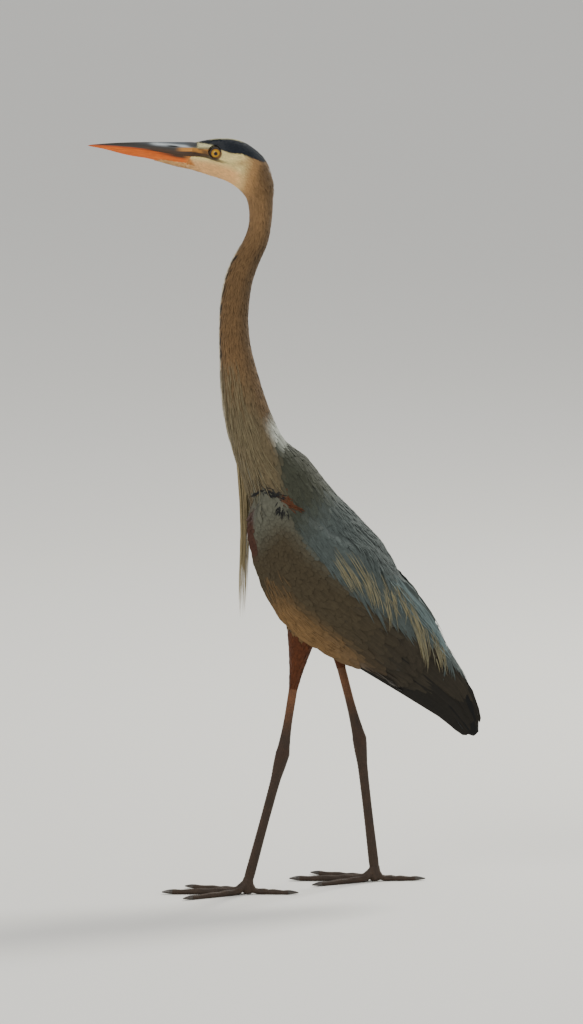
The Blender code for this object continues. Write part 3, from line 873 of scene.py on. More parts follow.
def plumage_finish(name, roughness, sheen, barb_scale):
    """Feather: its own colour, a fine pale shaft and slanting barbs on either side of it."""
    made = new_material(name, roughness, Sheen_Weight=sheen, Sheen_Roughness=0.5,
                        Specular_IOR_Level=0.15)
    vane = add_node(made, "ShaderNodeUVMap", uv_map="vane")
    parts = add_node(made, "ShaderNodeSeparateXYZ", {"Vector": vane.outputs["UV"]})
    from_shaft = worked(made, "ABSOLUTE", worked(made, "SUBTRACT", parts.outputs["X"], 0.5))
    slant = worked(made, "MULTIPLY_ADD", from_shaft, -0.9, parts.outputs["Y"])
    barbs = worked(made, "SINE", worked(made, "MULTIPLY", slant, barb_scale))
    mottle = cloudy(made, place_on(made), 160.0, 4.0)
    shade = worked(made, "MULTIPLY_ADD", barbs, 0.05, 0.95)
    shade = worked(made, "MULTIPLY", shade, worked(made, "MULTIPLY_ADD", mottle, 0.5, 0.75))
    shaft = worked(made, "LESS_THAN", from_shaft, 0.035)
    shade = worked(made, "MULTIPLY_ADD", shaft, 0.16, shade)
    shades = add_node(made, "ShaderNodeCombineColor", {"Red": shade, "Green": shade, "Blue": shade})
    colour = mixed(made, 1.0, stored(made, "plumage"), shades.outputs["Color"], "MULTIPLY")
    wire(made, colour, barbs, 0.0002, 0.2)
    return made


contour_finish = plumage_finish("contour_feather", 0.82, 0.12, 90.0)


SCATTER = 0.16                  # how far a root strays, as a share of the space between roots


def staggered_rings(start, end, pitch_at, across_at, random):
    """Roots in rings round the body, each ring's set half a space round from the last."""
    roots = []
    place, odd = start, 0.0
    while place < end:
        round_turns = np.linspace(-math.pi, math.pi, SPOKES + 1)
        rim = body_point(np.full(SPOKES + 1, place), round_turns)
        travel = np.concatenate([[0], np.cumsum(np.linalg.norm(np.diff(rim, axis=0), axis=1))])
        count = max(8, round(travel[-1] / across_at(place)))
        stops = (np.arange(count) + odd) / count * travel[-1]
        stops = stops + random.normal(0, SCATTER * travel[-1] / count, count)
        turns = np.interp(np.mod(stops, travel[-1]), travel, round_turns)
        places = place + random.normal(0, SCATTER * pitch_at(place), count)
        roots.append(np.stack([places, turns], 1))
        place += pitch_at(place)
        odd = 0.5 - odd
    return np.concatenate(roots)


def clear_of_skin(spine, lift):
    """Moves every point of the feathers out until it has its lift above the skin."""
    flat = spine.reshape(-1, 3).copy()
    wanted = np.broadcast_to(lift, spine.shape[:2]).ravel()
    for index, place in enumerate(flat):
        found, facing, _, _ = skin_tree.find_nearest(Vector(place * MM))
        short = wanted[index] - (Vector(place * MM) - found).dot(facing) / MM
        if short > 0:
            flat[index] += np.array(facing) * min(short, HUG_STEP)
    return flat.reshape(spine.shape)


MOST_FOLD = math.cos(math.radians(38))  # a feather that would bend more at one place is left out
ROOT_SHADE = 0.82               # how much of its colour a feather shows at the root
COLOUR_LIMITS = (0.002, 0.95)
HUG_STEP = 4.0                  # the farthest that a point is moved out to clear the skin


def grow(name, surface, unwrap, roots, length, half_width, outline, rise, random, heading=0.0,
         thickness=0.3, camber=0.25, tone=0.10, colour_at=plumage_at, edge_gain=0.9, sway=0.10,
         tip_gain=1.12, stretch=1.0, tip_colour=None, droop=0.0, farthest=None, variety=0.10, hug=False):
    """Feathers rooted on a surface, lying along its first direction and out by rise at the tip.

    roots is (feathers, 2) in the surface's two measures; length, half_width and rise are numbers
    or one number for each feather; stretch turns a millimetre into the second measure; droop bends
    a feather sideways as it goes, tip_colour is what its colour turns into at the tip, and a
    feather that strays farther from the skin than farthest is left out.  With hug, a feather
    follows the skin itself wherever the skin stands above the surface.
    """
    count = len(roots)
    shares = np.array([share for share, _ in outline] + [1.0])
    widths = np.array([width for _, width in outline] + [0.0])
    length = np.broadcast_to(length, count) * random.normal(1, variety, count)
    half_width = np.broadcast_to(half_width, count) * random.normal(1, 0.08, count)
    lean = np.broadcast_to(heading, count) + random.normal(0, sway, count)
    bend = droop + random.normal(0, 0.4 * sway, count)
    step = 3.0
    near = surface(roots[:, 0], roots[:, 1])[0]
    ahead = surface(roots[:, 0] + step, roots[:, 1])[0]
    aside = surface(roots[:, 0], roots[:, 1] + step * stretch)[0]
    per_first = step / np.maximum(np.linalg.norm(ahead - near, axis=1), 0.4 * step)
    per_second = step * stretch / np.maximum(np.linalg.norm(aside - near, axis=1), 0.4 * step)
    travel = length[:, None] * shares
    turned = lean[:, None] + bend[:, None] * shares
    first = roots[:, :1] + travel * np.cos(turned) * per_first[:, None]
    second = roots[:, 1:] + travel * np.sin(turned) * per_second[:, None]
    spine, out = surface(first, second)
    lift = -0.5 + (np.broadcast_to(rise, count)[:, None] + 0.5) * shares**0.8
    spine = spine + out * (lift + random.normal(0, 0.12, count)[:, None])[..., None]
    if hug:
        spine = clear_of_skin(spine, lift)
    roll = random.normal(0, 0.12, count)[:, None, None]
    out = unit(out + roll * np.cross(out, unit(np.gradient(spine, axis=1))))
    pieces = np.diff(spine, axis=1)
    arc = np.linalg.norm(pieces, axis=2).sum(1)
    straight = (unit(pieces[:, 1:]) * unit(pieces[:, :-1])).sum(2).min(1)
    lies = (arc < 1.3 * length + 2) & (straight > MOST_FOLD)
    if farthest is not None:
        for station in (-1, -3):
            lies &= np.array([skin_tree.find_nearest(Vector(place * MM))[3] < farthest * MM
                              for place in spine[:, station]])
    spine, out, half_width, roots = spine[lies], out[lies], half_width[lies], roots[lies]
    count = len(roots)
    seen = spine[:, -2]
    colours = colour_at(seen) * random.normal(1, tone, count)[:, None]
    gains = ROOT_SHADE + (tip_gain - ROOT_SHADE) * shares
    colours = colours[:, None, :] * gains[None, :, None]
    if tip_colour is not None:
        share = random.uniform(0.4, 1.0, count)[:, None, None] * shares[None, :, None] ** 1.8
        colours = colours + share * (tip_colour - colours)
    colours = np.clip(colours, *COLOUR_LIMITS)
    return add_vanes(name, spine, out, half_width[:, None] * widths, thickness, camber, colours,
                     unwrap(roots[:, 0], roots[:, 1]), edge_gain)


def finish_coat(piece, finish, slot, *nodes):
    piece.data.materials.append(finish)
    hand_over(piece, slot, *nodes)
    return piece


# Where each part's feathers end, along the middle line.
HEAD_END = 118.0
NECK_END = 440.0
BODY_END = 812.0

random = np.random.default_rng(11)
roots = staggered_rings(7.0, HEAD_END, lambda s: 1.6 + s / 110, lambda s: 0.85 + s / 320, random)
on_skin = body_point(roots[:, 0], roots[:, 1])
kept = ~bare_face(on_skin)
roots, on_skin = roots[kept], on_skin[kept]
crown_length = 6.0 * soft_step(on_skin[:, 0], -70, -40) * (on_skin[:, 2] > 975)
near_eye = np.hypot(on_skin[:, 0] - EYE[0], on_skin[:, 2] - EYE[1])
small = np.clip(0.5 + near_eye / 60, 0.6, 1.0)
nape_rise = 2.4 * soft_step(on_skin[:, 0], -52, -30) * soft_step(on_skin[:, 2], 925, 945)
length = (3.8 + roots[:, 0] / 20 + crown_length) * small
half_width = (0.5 + roots[:, 0] / 420) * small
head_coat = grow("head_feathers", body_surface, body_unwrap, roots, length, half_width, FINE_TIP,
                 0.4 + roots[:, 0] / 400 + nape_rise, random, thickness=0.07, camber=0.12,
                 stretch=0.05, hug=True, tone=0.06)
finish_coat(head_coat, contour_finish, "face_plumage")

NECK_HALVES = {"upper": (HEAD_END - 6, 285.0), "lower": (284.0, NECK_END)}
for number, (half, (start, end)) in enumerate(NECK_HALVES.items()):
    random = np.random.default_rng(12 + 100 * number)
    roots = staggered_rings(start, end, lambda s: 2.8 + s / 260, lambda s: 1.1 + s / 500, random)
    neck_coat = grow("neck_feathers_" + half, body_surface, body_unwrap, roots,
                     10.0 + roots[:, 0] / 28, 0.62 + roots[:, 0] / 620, FINE_TIP,
                     0.7 + roots[:, 0] / 360, random, thickness=0.09, camber=0.12, stretch=0.05,
                     tone=0.07, hug=True)
    finish_coat(neck_coat, contour_finish, "neck_plumage")


def under_wing(points):
    """Whether a folded wing hides this part of the body."""
    u, v = in_wing_frame(points)
    top, bottom = wing_edges(u)
    return (u > 2) & (v < top - 5) & (v > bottom + 5) & (np.abs(points[:, 1]) > 43)


def on_thigh(points):
    away, down = thigh_distance(points)
    return (away < 27) & (down > 0.30)


def lies_back(roots, reach):
    """Whether the skin runs smoothly backward from each root for the length of a feather."""
    start = body_point(roots[:, 0], roots[:, 1])
    way = body_point(roots[:, 0] + reach, roots[:, 1]) - start
    back = unit(on_middle(roots[:, 0] + reach) - on_middle(roots[:, 0]))
    return (unit(way) * back).sum(1) > 0.75


def flank_colour(points):
    """The body's own colour under the wings, where the wing's markings don't reach."""
    u, v = in_wing_frame(points)
    beside = (np.abs(points[:, 1]) > 26) & (u > 60) & (u < 240) & (v < 14)
    plain = lay_over(even(BREAST, points), soft_step(points[:, 2], 520, 400), BELLY)
    return lay_over(plumage_at(points), beside, plain)


random = np.random.default_rng(13)
roots = staggered_rings(NECK_END - 8, BODY_END, lambda s: 4.8, lambda s: 4.6, random)
on_skin = body_point(roots[:, 0], roots[:, 1])
roots = roots[~under_wing(on_skin) & ~on_thigh(on_skin) & lies_back(roots, 12) & lies_back(roots, 28)]
back_share = soft_step(np.sin(roots[:, 1]), 0.0, 0.5)
body_length = np.interp(roots[:, 0], (430, 520, 800), (24, 30, 34)) + 12 * back_share
body_coat = grow("body_feathers", body_surface, body_unwrap, roots, body_length,
                 np.interp(roots[:, 0], (430, 520, 800), (2.4, 3.8, 4.6)), ROUND_TIP, 1.8, random,
                 heading=-0.22 * np.cos(roots[:, 1]) * back_share, thickness=0.14, camber=0.12,
                 stretch=0.02, tone=0.05, edge_gain=0.96, farthest=4.5, hug=True,
                 colour_at=flank_colour)
finish_coat(body_coat, contour_finish, "slate_plumage")


# Flight feather beds ----------------------------------------------------------------------------
# Under the tips of the folded wings the quills lie bunched together in a firm dark core, which the
# long feathers cover.

QUILL_CORE_DEPTH = 1.6
flight_finish = plumage_finish("flight_feather", 0.65, 0.05, 420.0)
core_trees = {}
for side in SIDES:
    core = fused("quill_core_" + side, ["primaries_" + side], 1.1, 6)
    sunk(core, QUILL_CORE_DEPTH + SWELL)
    core_points = edges_drawn_in(points_of(core))
    move_points(core, core_points)
    set_colours(core.data, "plumage", even(FLIGHT, core_points))
    core_uv = np.stack(in_wing_frame(core_points), 1) * (0.002, 0.1)
    corners = read_out(core.data.loops, "vertex_index", 1, np.int32).ravel()
    set_uv(core.data, "vane", core_uv, corners)
    core.data.materials.append(flight_finish)
    hand_over(core, "flight_feathers", "primaries_" + side)
    core_trees[side] = tree_of(core)


# Wings ------------------------------------------------------------------------------------------
# The folded wings: rows of small coverts from the wrist back, each row longer than the last, over
# the secondaries and the dark primaries, which show along the lower edge and at the tip.

SIDE_STEP = 4.0
SIDE_U = np.arange(-8, 444, SIDE_STEP)
SIDE_V = np.arange(-100, 100, SIDE_STEP)
SIDE_OUT = 130.0


def flank_probe(side, u, v):
    """How far out the bird's flank lies on this side at one place in the wing's frame."""
    if v < wing_edges(u)[1] + 2:
        return np.nan
    x, z = WRIST + u * WING_RUN + v * WING_UP
    start = Vector((x, SIDES[side] * SIDE_OUT, z)) * MM
    inward = (0, -SIDES[side], 0)
    return np.fmax(*[SIDE_OUT - met(tree, start, inward, (SIDE_OUT - 2) * MM)
                     for tree in (skin_tree, core_trees[side])])


def flank_table(side):
    """The flank's distance out over the wing's frame, carried on evenly past the wing's edges."""
    reach = measured(SIDE_U, SIDE_V, lambda u, v: flank_probe(side, u, v))
    for row in reach:
        known = ~np.isnan(row)
        if known.any():
            row[:] = np.interp(SIDE_V, SIDE_V[known], row[known])
    return blurred(filled(reach[::-1])[::-1], 2, False)


side_reach = {side: flank_table(side) for side in SIDES}


def flank_point(side, u, v):
    reach = looked_up(side_reach[side], (u - SIDE_U[0]) / SIDE_STEP, (v - SIDE_V[0]) / SIDE_STEP, False)
    return with_side(from_wing_frame(u, v), SIDES[side] * reach)


def flank_surface(side):
    """The flank of one side as a surface over the wing's frame."""
    return lambda u, v: faced(lambda *at: flank_point(side, *at), u, v, 4, 4, -SIDES[side])


def flow_surface(side):
    """The same flank measured by u and the share of the way from the wing's lower edge to its upper."""
    flat_surface = flank_surface(side)

    def surface(u, share):
        top, bottom = wing_edges(u)
        return flat_surface(u, bottom + share * (top - bottom))
    return surface


def flank_unwrap(side):
    def unwrap(u, v):
        edge = 0.02 if side == "left" else 0.51
        return np.stack([edge + 0.47 * (u + 10) / 460, 0.02 + 0.96 * (v + 100) / 200], -1)
    return unwrap


def flow_unwrap(side):
    def unwrap(u, share):
        top, bottom = wing_edges(u)
        return flank_unwrap(side)(u, bottom + share * (top - bottom))
    return unwrap


def covert_length(u):
    return np.interp(u, (0, 60, 130, 200, 260), (11, 17, 27, 42, 60))


def covert_half(u):
    return np.interp(u, (0, 60, 130, 200, 260), (2.2, 3.4, 4.6, 5.8, 6.6))


EDGE_ROOM = 2.0


def covert_rows(start, end, random):
    """Roots of the coverts in staggered rows square to the wing, half a feather in from its edges."""
    roots = []
    u, odd = start, 0.0
    while u < end:
        top, bottom = wing_edges(u)
        edge = (covert_half(u) + EDGE_ROOM) / (top - bottom)
        low_edge = (covert_half(u) - 0.5) / (top - bottom)
        count = max(3, round((top - bottom) / (1.15 * covert_half(u))))
        shares = (np.arange(count + 1) - odd + random.normal(0, 0.12, count + 1)) / count
        pitch = 0.30 * covert_length(u)
        along = u + random.normal(0, 0.12 * pitch, count + 1)
        roots.append(np.stack([along, np.clip(shares, low_edge, 1 - edge)], 1))
        u += pitch
        odd = 0.5 - odd
    return np.concatenate(roots)


def fan(count, first, last):
    """One row of roots, evenly spaced in both measures."""
    share = np.linspace(0, 1, count)[:, None]
    return np.array(first) + share * (np.array(last) - np.array(first))


FLIGHT_TIP = ((0.0, 0.35), (0.12, 0.8), (0.45, 1.0), (0.78, 0.95), (0.91, 0.74), (0.975, 0.42))
PRIMARIES = 12
SECONDARIES = 15
STREAKS = 150


def quill_colour(points):
    """Black along the wing's lower edge and at its tip, brown-black above."""
    u, v = in_wing_frame(points)
    top, bottom = wing_edges(u)
    upper = soft_step((v - bottom) / np.maximum(top - bottom, 1), 0.04, 0.15) * soft_step(u, 436, 412)
    return lay_over(even(FLIGHT, points), upper, QUILL_BROWN)


for number, side in enumerate(SIDES):
    random = np.random.default_rng(20 + number)
    surface, unwrap = flow_surface(side), flow_unwrap(side)
    stiff = dict(stretch=0.008, camber=0.16, sway=0.012, variety=0.02)

    roots = fan(PRIMARIES, (232, 0.08), (244, 0.88))
    primaries = grow("primary_feathers_" + side, surface, unwrap, roots,
                     np.linspace(197, 178, PRIMARIES), np.linspace(8.8, 5.8, PRIMARIES), FLIGHT_TIP,
                     0.2, random, thickness=0.5, tone=0.06, colour_at=quill_colour, **stiff)
    finish_coat(primaries, flight_finish, "flight_feathers")

    roots = fan(SECONDARIES, (196, 0.13), (228, 0.86))
    secondaries = grow("secondary_feathers_" + side, surface, unwrap, roots,
                       np.linspace(160, 168, SECONDARIES), np.linspace(8.0, 5.5, SECONDARIES),
                       FLIGHT_TIP, 1.0, random, thickness=0.4, tone=0.05,
                       colour_at=lambda points: plumage_at(points) * 0.85,
                       droop=np.linspace(0.09, 0.0, SECONDARIES), **stiff)
    finish_coat(secondaries, flight_finish, "slate_plumage")

    roots = covert_rows(-2, 236, random)
    roots = roots[(roots[:, 1] > 0.12) | (roots[:, 0] < 206)]
    lower = soft_step(roots[:, 1], 0.35, 0.0)
    length = covert_length(roots[:, 0]) * (1 + 0.15 * lower)
    coverts = grow("wing_coverts_" + side, surface, unwrap, roots, length, covert_half(roots[:, 0]),
                   ROUND_TIP, 1.6, random, thickness=0.15, camber=0.10, tone=0.035, edge_gain=0.97,
                   tip_gain=1.03, stretch=0.008, sway=0.05)
    finish_coat(coverts, contour_finish, "slate_plumage")

    along = random.uniform(66, 190, STREAKS)
    top, bottom = wing_edges(along)
    roots = np.stack([along, random.triangular(4, 6, 34, STREAKS) / (top - bottom)], 1)
    streaks = grow("lower_wing_streaks_" + side, surface, unwrap, roots, random.uniform(26, 44, STREAKS),
                   1.1, LANCE, 2.6, random, heading=-0.05, thickness=0.15, tone=0.10, stretch=0.008,
                   sway=0.05, tip_colour=WING_STREAK)
    finish_coat(streaks, contour_finish, "slate_plumage")


# Scapular plumes --------------------------------------------------------------------------------
# Narrow feathers hang from the shoulders over the upper half of each folded wing, blue-grey and
# dense above, and end in a loose fringe of hair-thin pale plumes.

PLUME_BUFF = linear(160, 147, 106)
PLUME_SILVER = linear(134, 155, 157)
SCAPULARS = 1700
plume_finish = plumage_finish("lance_plume", 0.75, 0.15, 200.0)
# Locks of pale plumes: tip in u and v, length, fall towards the tip, strands, 0 buff or 1 silver.
LOCKS = (
    (158, 20, 58, 0.20, 12, 0), (180, 16, 74, 0.22, 24, 0), (196, 26, 66, 0.30, 14, 0),
    (212, 19, 62, 0.40, 22, 0), (228, 30, 64, 0.44, 12, 0), (242, 14, 72, 0.52, 22, 0),
    (248, 38, 62, 0.34, 12, 0), (272, 33, 70, 0.36, 12, 0), (292, 26, 84, 0.42, 14, 0),
    (314, 10, 88, 0.46, 22, 0), (324, 30, 70, 0.42, 10, 0), (337, 19, 62, 0.50, 16, 0),
    (236, 56, 70, 0.16, 12, 1), (262, 54, 84, 0.15, 14, 1), (288, 50, 92, 0.14, 16, 1),
    (308, 47, 90, 0.14, 16, 1), (326, 43, 88, 0.15, 14, 1),
)


def grey_back(points):
    return slate(points) * 0.94


# What the soft grey feathers of the shoulders and the mantle have in common.
LAX = dict(thickness=0.15, tone=0.05, sway=0.05, tip_gain=1.06, camber=0.12, edge_gain=0.96,
           colour_at=grey_back)

for number, side in enumerate(SIDES):
    random = np.random.default_rng(30 + number)
    surface, unwrap = flank_surface(side), flank_unwrap(side)
    roots = np.stack([random.uniform(22, 205, SCAPULARS), random.uniform(12, 80, SCAPULARS)], 1)
    edge = wing_edges(roots[:, 0])[0]
    lowest = np.interp(roots[:, 0], (22, 60, 110, 205), (34, 20, 24, 40))
    roots = roots[(roots[:, 1] < edge - 6) & (roots[:, 1] > lowest)]
    reach = np.interp(roots[:, 0], (22, 60, 150, 205), (24, 42, 74, 84))
    reach = reach * random.uniform(0.75, 1.15, len(roots))
    scapulars = grow("scapular_feathers_" + side, surface, unwrap, roots, reach, 2.6, LANCE, 3.0, random,
                     heading=-0.20, **LAX)
    finish_coat(scapulars, contour_finish, "slate_plumage")

    locks = np.array(LOCKS, float)
    locks = np.repeat(locks, locks[:, 4].astype(int), axis=0)
    count = len(locks)
    fall = locks[:, 3] + random.normal(0, 0.05, count)
    reach = locks[:, 2] * random.uniform(0.7, 1.12, count)
    short = random.uniform(0, 1, count) ** 2 * 22
    tips = locks[:, :2] + random.normal(0, (5.5, 3.0), (count, 2))
    roots = tips - (reach + short)[:, None] * np.stack([np.cos(fall), -np.sin(fall)], 1)
    room = wing_edges(roots[:, 0])[0] - 4
    roots[:, 1] = np.minimum(roots[:, 1], room)
    for kind, colour, chosen in (("buff", PLUME_BUFF, locks[:, 5] < 0.5),
                                 ("silver", PLUME_SILVER, locks[:, 5] > 0.5)):
        fringe = grow("%s_scapular_plumes_%s" % (kind, side), surface, unwrap, roots[chosen],
                      reach[chosen], 0.95, LANCE, 5.2, random, heading=0.3 * -fall[chosen],
                      droop=0.7 * -fall[chosen], thickness=0.2, tone=0.12, sway=0.02,
                      tip_colour=colour, colour_at=grey_back)
        finish_coat(fringe, plume_finish, "pale_plumes")


# Mantle and back plumes -------------------------------------------------------------------------
# The feathers of the back close the groove between the two folded wings in one smooth ridge, and
# the longest, silvery and lance-shaped, lie back over the wings' upper edges.

RIDGE_U = np.arange(24, 420, SIDE_STEP)
RIDGE_Y = np.arange(-48, 49, SIDE_STEP)
RIDGE_ABOVE = 130.0
RIDGE_FLOOR = -60.0             # where nothing is met


def ridge_probe(u, y):
    """How high the back and the wings' upper edges reach at one place, square to the wing."""
    x, z = WRIST + u * WING_RUN + RIDGE_ABOVE * WING_UP
    start = Vector((x, y, z)) * MM
    down = (-WING_UP[0], 0, -WING_UP[1])
    heights = [RIDGE_ABOVE - met(tree, start, down, 0.25) for tree in (skin_tree, *core_trees.values())]
    return np.fmax.reduce([RIDGE_FLOOR] + heights)


def groove_filled(height):
    """The heights with the groove between the two wings filled."""
    from_left = np.maximum.accumulate(height, axis=1)
    from_right = np.maximum.accumulate(height[:, ::-1], axis=1)[:, ::-1]
    return np.minimum(from_left, from_right)


ridge_height = blurred(groove_filled(measured(RIDGE_U, RIDGE_Y, ridge_probe)), 1, False)


def ridge_point(u, y):
    height = looked_up(ridge_height, (u - RIDGE_U[0]) / SIDE_STEP, (y - RIDGE_Y[0]) / SIDE_STEP, False)
    return with_side(from_wing_frame(u, height), y)


def ridge_surface(u, y):
    return faced(ridge_point, u, y, 4, 3, 1.0)


def ridge_unwrap(u, y):
    return np.stack([0.02 + 0.96 * u / 440, 0.5 + y / 110], -1)


def ridge_roots(count, first, last, half_widths, random):
    """Roots scattered over the ridge between two distances, inside its half width at each."""
    roots = np.stack([random.uniform(first, last, count), random.uniform(-1, 1, count)], 1)
    roots[:, 1] *= np.interp(roots[:, 0], (60, 130, 200, 300), half_widths)
    return roots


random = np.random.default_rng(36)
roots = ridge_roots(1450, 60, 306, (36, 36, 28, 14), random)
reach = np.interp(roots[:, 0], (60, 140, 300), (30, 44, 60)) * random.uniform(0.8, 1.15, len(roots))
fullness = 2.8 + 2.6 * np.exp(-((roots[:, 0] - 118) / 72) ** 2)
mantle = grow("mantle_feathers", ridge_surface, ridge_unwrap, roots, reach, 3.0, LANCE, fullness,
              random, heading=0.006 * roots[:, 1], **LAX)
finish_coat(mantle, contour_finish, "slate_plumage")

roots = ridge_roots(130, 110, 235, (26, 24, 17, 8), random)
reach = random.uniform(70, 118, len(roots))
silver = grow("back_plumes", ridge_surface, ridge_unwrap, roots, reach, 1.4, LANCE, 3.4, random,
              heading=0.008 * roots[:, 1], thickness=0.22, tone=0.08, sway=0.03,
              tip_colour=PLUME_SILVER, colour_at=grey_back)
finish_coat(silver, plume_finish, "pale_plumes")


# Shoulder tufts ---------------------------------------------------------------------------------
# At the bend of each wing pointed black feathers line the crease above it and spray out below, and
# a slender tongue of chestnut ones runs back between them.

# Colour, feathers, the row their roots stand on in u and v, scatter, length, half width, heading
# and its spread.
TUFTS = {
    "wrist": (BLACK_PATCH, 16, (-9, -1), (-6, 11), 0.8, 9.0, 1.0, 1.25, 0.12),
    "crease": (BLACK_PATCH, 38, (-6, 16), (14, 27), 1.9, 11.0, 1.25, 0.42, 0.16),
    "black": (BLACK_PATCH, 30, (20, 27), (29, 24), 1.6, 17.0, 1.2, -1.10, 0.32),
    "chestnut": (CHESTNUT, 36, (17, 25), (33, 31), 2.0, 20.0, 1.1, 0.30, 0.12),
}
for number, side in enumerate(SIDES):
    for tuft, (colour, count, first, last, scatter, reach, thick, heading, spread) in TUFTS.items():
        random = np.random.default_rng(80 + number)
        roots = fan(count, first, last) + random.normal(0, scatter, (count, 2))
        spray = grow("%s_shoulder_tuft_%s" % (tuft, side), flank_surface(side), flank_unwrap(side), roots,
                     reach, thick, LANCE, 3.2, random, heading=heading, thickness=0.15, tone=0.15,
                     sway=spread, colour_at=lambda points: even(colour, points))
        finish_coat(spray, plume_finish, "chestnut_plumage" if tuft == "chestnut" else "slate_plumage")


# Tail -------------------------------------------------------------------------------------------
# Twelve short, square-ended tail feathers, stacked in a narrow fan between the wing tips.

TAIL_FEATHERS = 12
TAIL_ROOT = 300.0
TAIL_LENGTH = 119.0
TAIL_HALF = 6.5                 # half the width of the row of roots, and of each feather
TAIL_GREY = linear(56, 60, 64)


def tail_surface(u, y):
    """The fan's upper face: it slopes with the body and falls away a little to either side."""
    height = np.interp(u, (295, 340, 428), (22, 12, -9.5)) - 0.010 * y**2
    up = np.stack([np.full_like(u, WING_UP[0]), 0.02 * y, np.full_like(u, WING_UP[1])], -1)
    return with_side(from_wing_frame(u, height), y), unit(up)


random = np.random.default_rng(41)
across = np.linspace(-TAIL_HALF, TAIL_HALF, TAIL_FEATHERS)
roots = np.stack([np.full(TAIL_FEATHERS, TAIL_ROOT), across], 1)
order = 1.0 - np.abs(across) / TAIL_HALF
tail = grow("tail_feathers", tail_surface, lambda u, y: np.stack([u / 500, 0.5 + y / 40], -1), roots,
            TAIL_LENGTH, TAIL_HALF, FLIGHT_TIP, 0.5 + 4.0 * order, random, heading=across * 0.006,
            thickness=0.5, camber=0.12, tone=0.05, sway=0.005, variety=0.01,
            colour_at=lambda points: even(TAIL_GREY, points))
finish_coat(tail, flight_finish, "flight_feathers", "tail")


# Breast plumes ----------------------------------------------------------------------------------
# Long loose plumes that spring from the lower foreneck and hang free in front of the breast, and
# shorter hair-like ones that lie down the sides of the lower neck over the shoulders.

PLUME_CREAM = linear(176, 162, 124)
PLUME_BROWN = linear(104, 88, 62)
# Height, then the hanging bunch's middle, half depth and half width at that height.
PLUME_BUNCH = ((640, -68, 1.5, 14), (586, -60, 5.5, 14.5), (548, -56, 6.5, 15.5),
               (512, -53, 7.0, 14), (470, -53, 6.0, 10), (430, -55, 6.0, 7), (360, -57, 5.5, 4))


STRANDS = 200
STRAND = np.linspace(0, 1, 9)   # the places along each hanging plume


def hang_plumes(count, random):
    """Spines of the free plumes, from root to tip."""
    heights, middles, depths, widths = np.array(PLUME_BUNCH, float).T[:, ::-1]
    angle = random.uniform(0, math.tau, count)
    spread = np.sqrt(random.uniform(0, 1, count))
    top = random.uniform(598, 655, count)
    low = 360 + 200 * random.uniform(0, 1, count)
    z = top[:, None] + (low - top)[:, None] * STRAND
    x = np.cos(angle)[:, None] * spread[:, None] * np.interp(z, heights, depths)
    x = np.interp(z, heights, middles) + x
    y = np.sin(angle)[:, None] * spread[:, None] * np.interp(z, heights, widths)
    wave = random.normal(0, 1.1, count)[:, None] * STRAND**2
    spine = np.stack([x + wave, y + random.normal(0, 1.0, count)[:, None] * STRAND**2, z], -1)
    out = np.stack([-np.ones(count), 1.2 * np.sin(angle) * spread, np.zeros(count)], -1)
    return spine, unit(out)


random = np.random.default_rng(51)
spine, out = hang_plumes(STRANDS, random)
taper = np.interp(STRAND, (0, 0.2, 0.6, 1), (0.4, 1.0, 0.7, 0.0))
widths = random.uniform(0.4, 0.95, STRANDS)[:, None] * taper
pale_share = random.uniform(0.25, 1.0, (STRANDS, 1, 1))
colours = PLUME_BROWN + pale_share * (PLUME_CREAM - PLUME_BROWN) * (0.6 + 0.4 * STRAND[None, :, None])
roots = np.stack([0.5 + spine[:, 0, 1] / 200, 0.4 + spine[:, 0, 2] / 5000], -1)
breast = add_vanes("breast_plume_strands", spine, np.repeat(out[:, None], len(STRAND), 1), widths,
                   0.35, 0.2, np.broadcast_to(colours, spine.shape), roots)
finish_coat(breast, plume_finish, "pale_plumes", "breast_plumes")

random = np.random.default_rng(52)
roots = staggered_rings(330, 466, lambda s: 5.4, lambda s: 3.8, random)
roots = roots[np.sin(roots[:, 1]) < 0.35 - random.uniform(0, 0.5, len(roots))]
reach = np.interp(roots[:, 0], (330, 446), (46, 74)) * random.uniform(0.7, 1.15, len(roots))
neck_plumes = grow("neck_plumes", body_surface, body_unwrap, roots, reach, 0.95, LANCE, 3.2, random,
                   thickness=0.2, stretch=0.02, tone=0.16, sway=0.05, tip_colour=PLUME_CREAM * 0.5)
finish_coat(neck_plumes, plume_finish, "neck_plumage")


# Thighs -----------------------------------------------------------------------------------------
# Short, dense chestnut feathers down each drumstick, ending in a ragged edge on the bare leg.

THIGH_ROWS = 40
THIGH_SPOKES = 32
THIGH_TOP = 0.25                # the share of the way down the thigh at which its table starts


def thigh_table(side):
    """The skin's distance from the middle of one drumstick, row by row and all round."""
    knee, end = THIGH_LINES[side]
    run = unit(end - knee)
    fore = unit(np.cross(run, (0, 1, 0)))
    beside = np.cross(run, fore)
    length = np.linalg.norm(end - knee)
    shares = np.linspace(THIGH_TOP, 1.0, THIGH_ROWS)
    turns = np.arange(THIGH_SPOKES) / THIGH_SPOKES * math.tau
    reach = np.full((THIGH_ROWS, THIGH_SPOKES), np.nan)
    for row, share in enumerate(shares):
        place = knee + (share * length - 1.5) * run
        for column, angle in enumerate(turns):
            way = fore * math.cos(angle) + beside * math.sin(angle)
            reach[row, column] = np.minimum(met(skin_tree, place * MM, way, 0.08), 40)
    reach = filled(reach)
    lower = shares > 0.72
    reach[lower] = np.minimum(reach[lower], 1.25 * np.median(reach[lower], axis=1, keepdims=True))
    behind = np.maximum(np.cos(turns), 0)
    reach += 4.0 * behind * np.interp(shares, (0.25, 0.6, 1.0), (1, 0.8, 0))[:, None]
    return blurred(reach, 1, True), knee, run, fore, beside, length


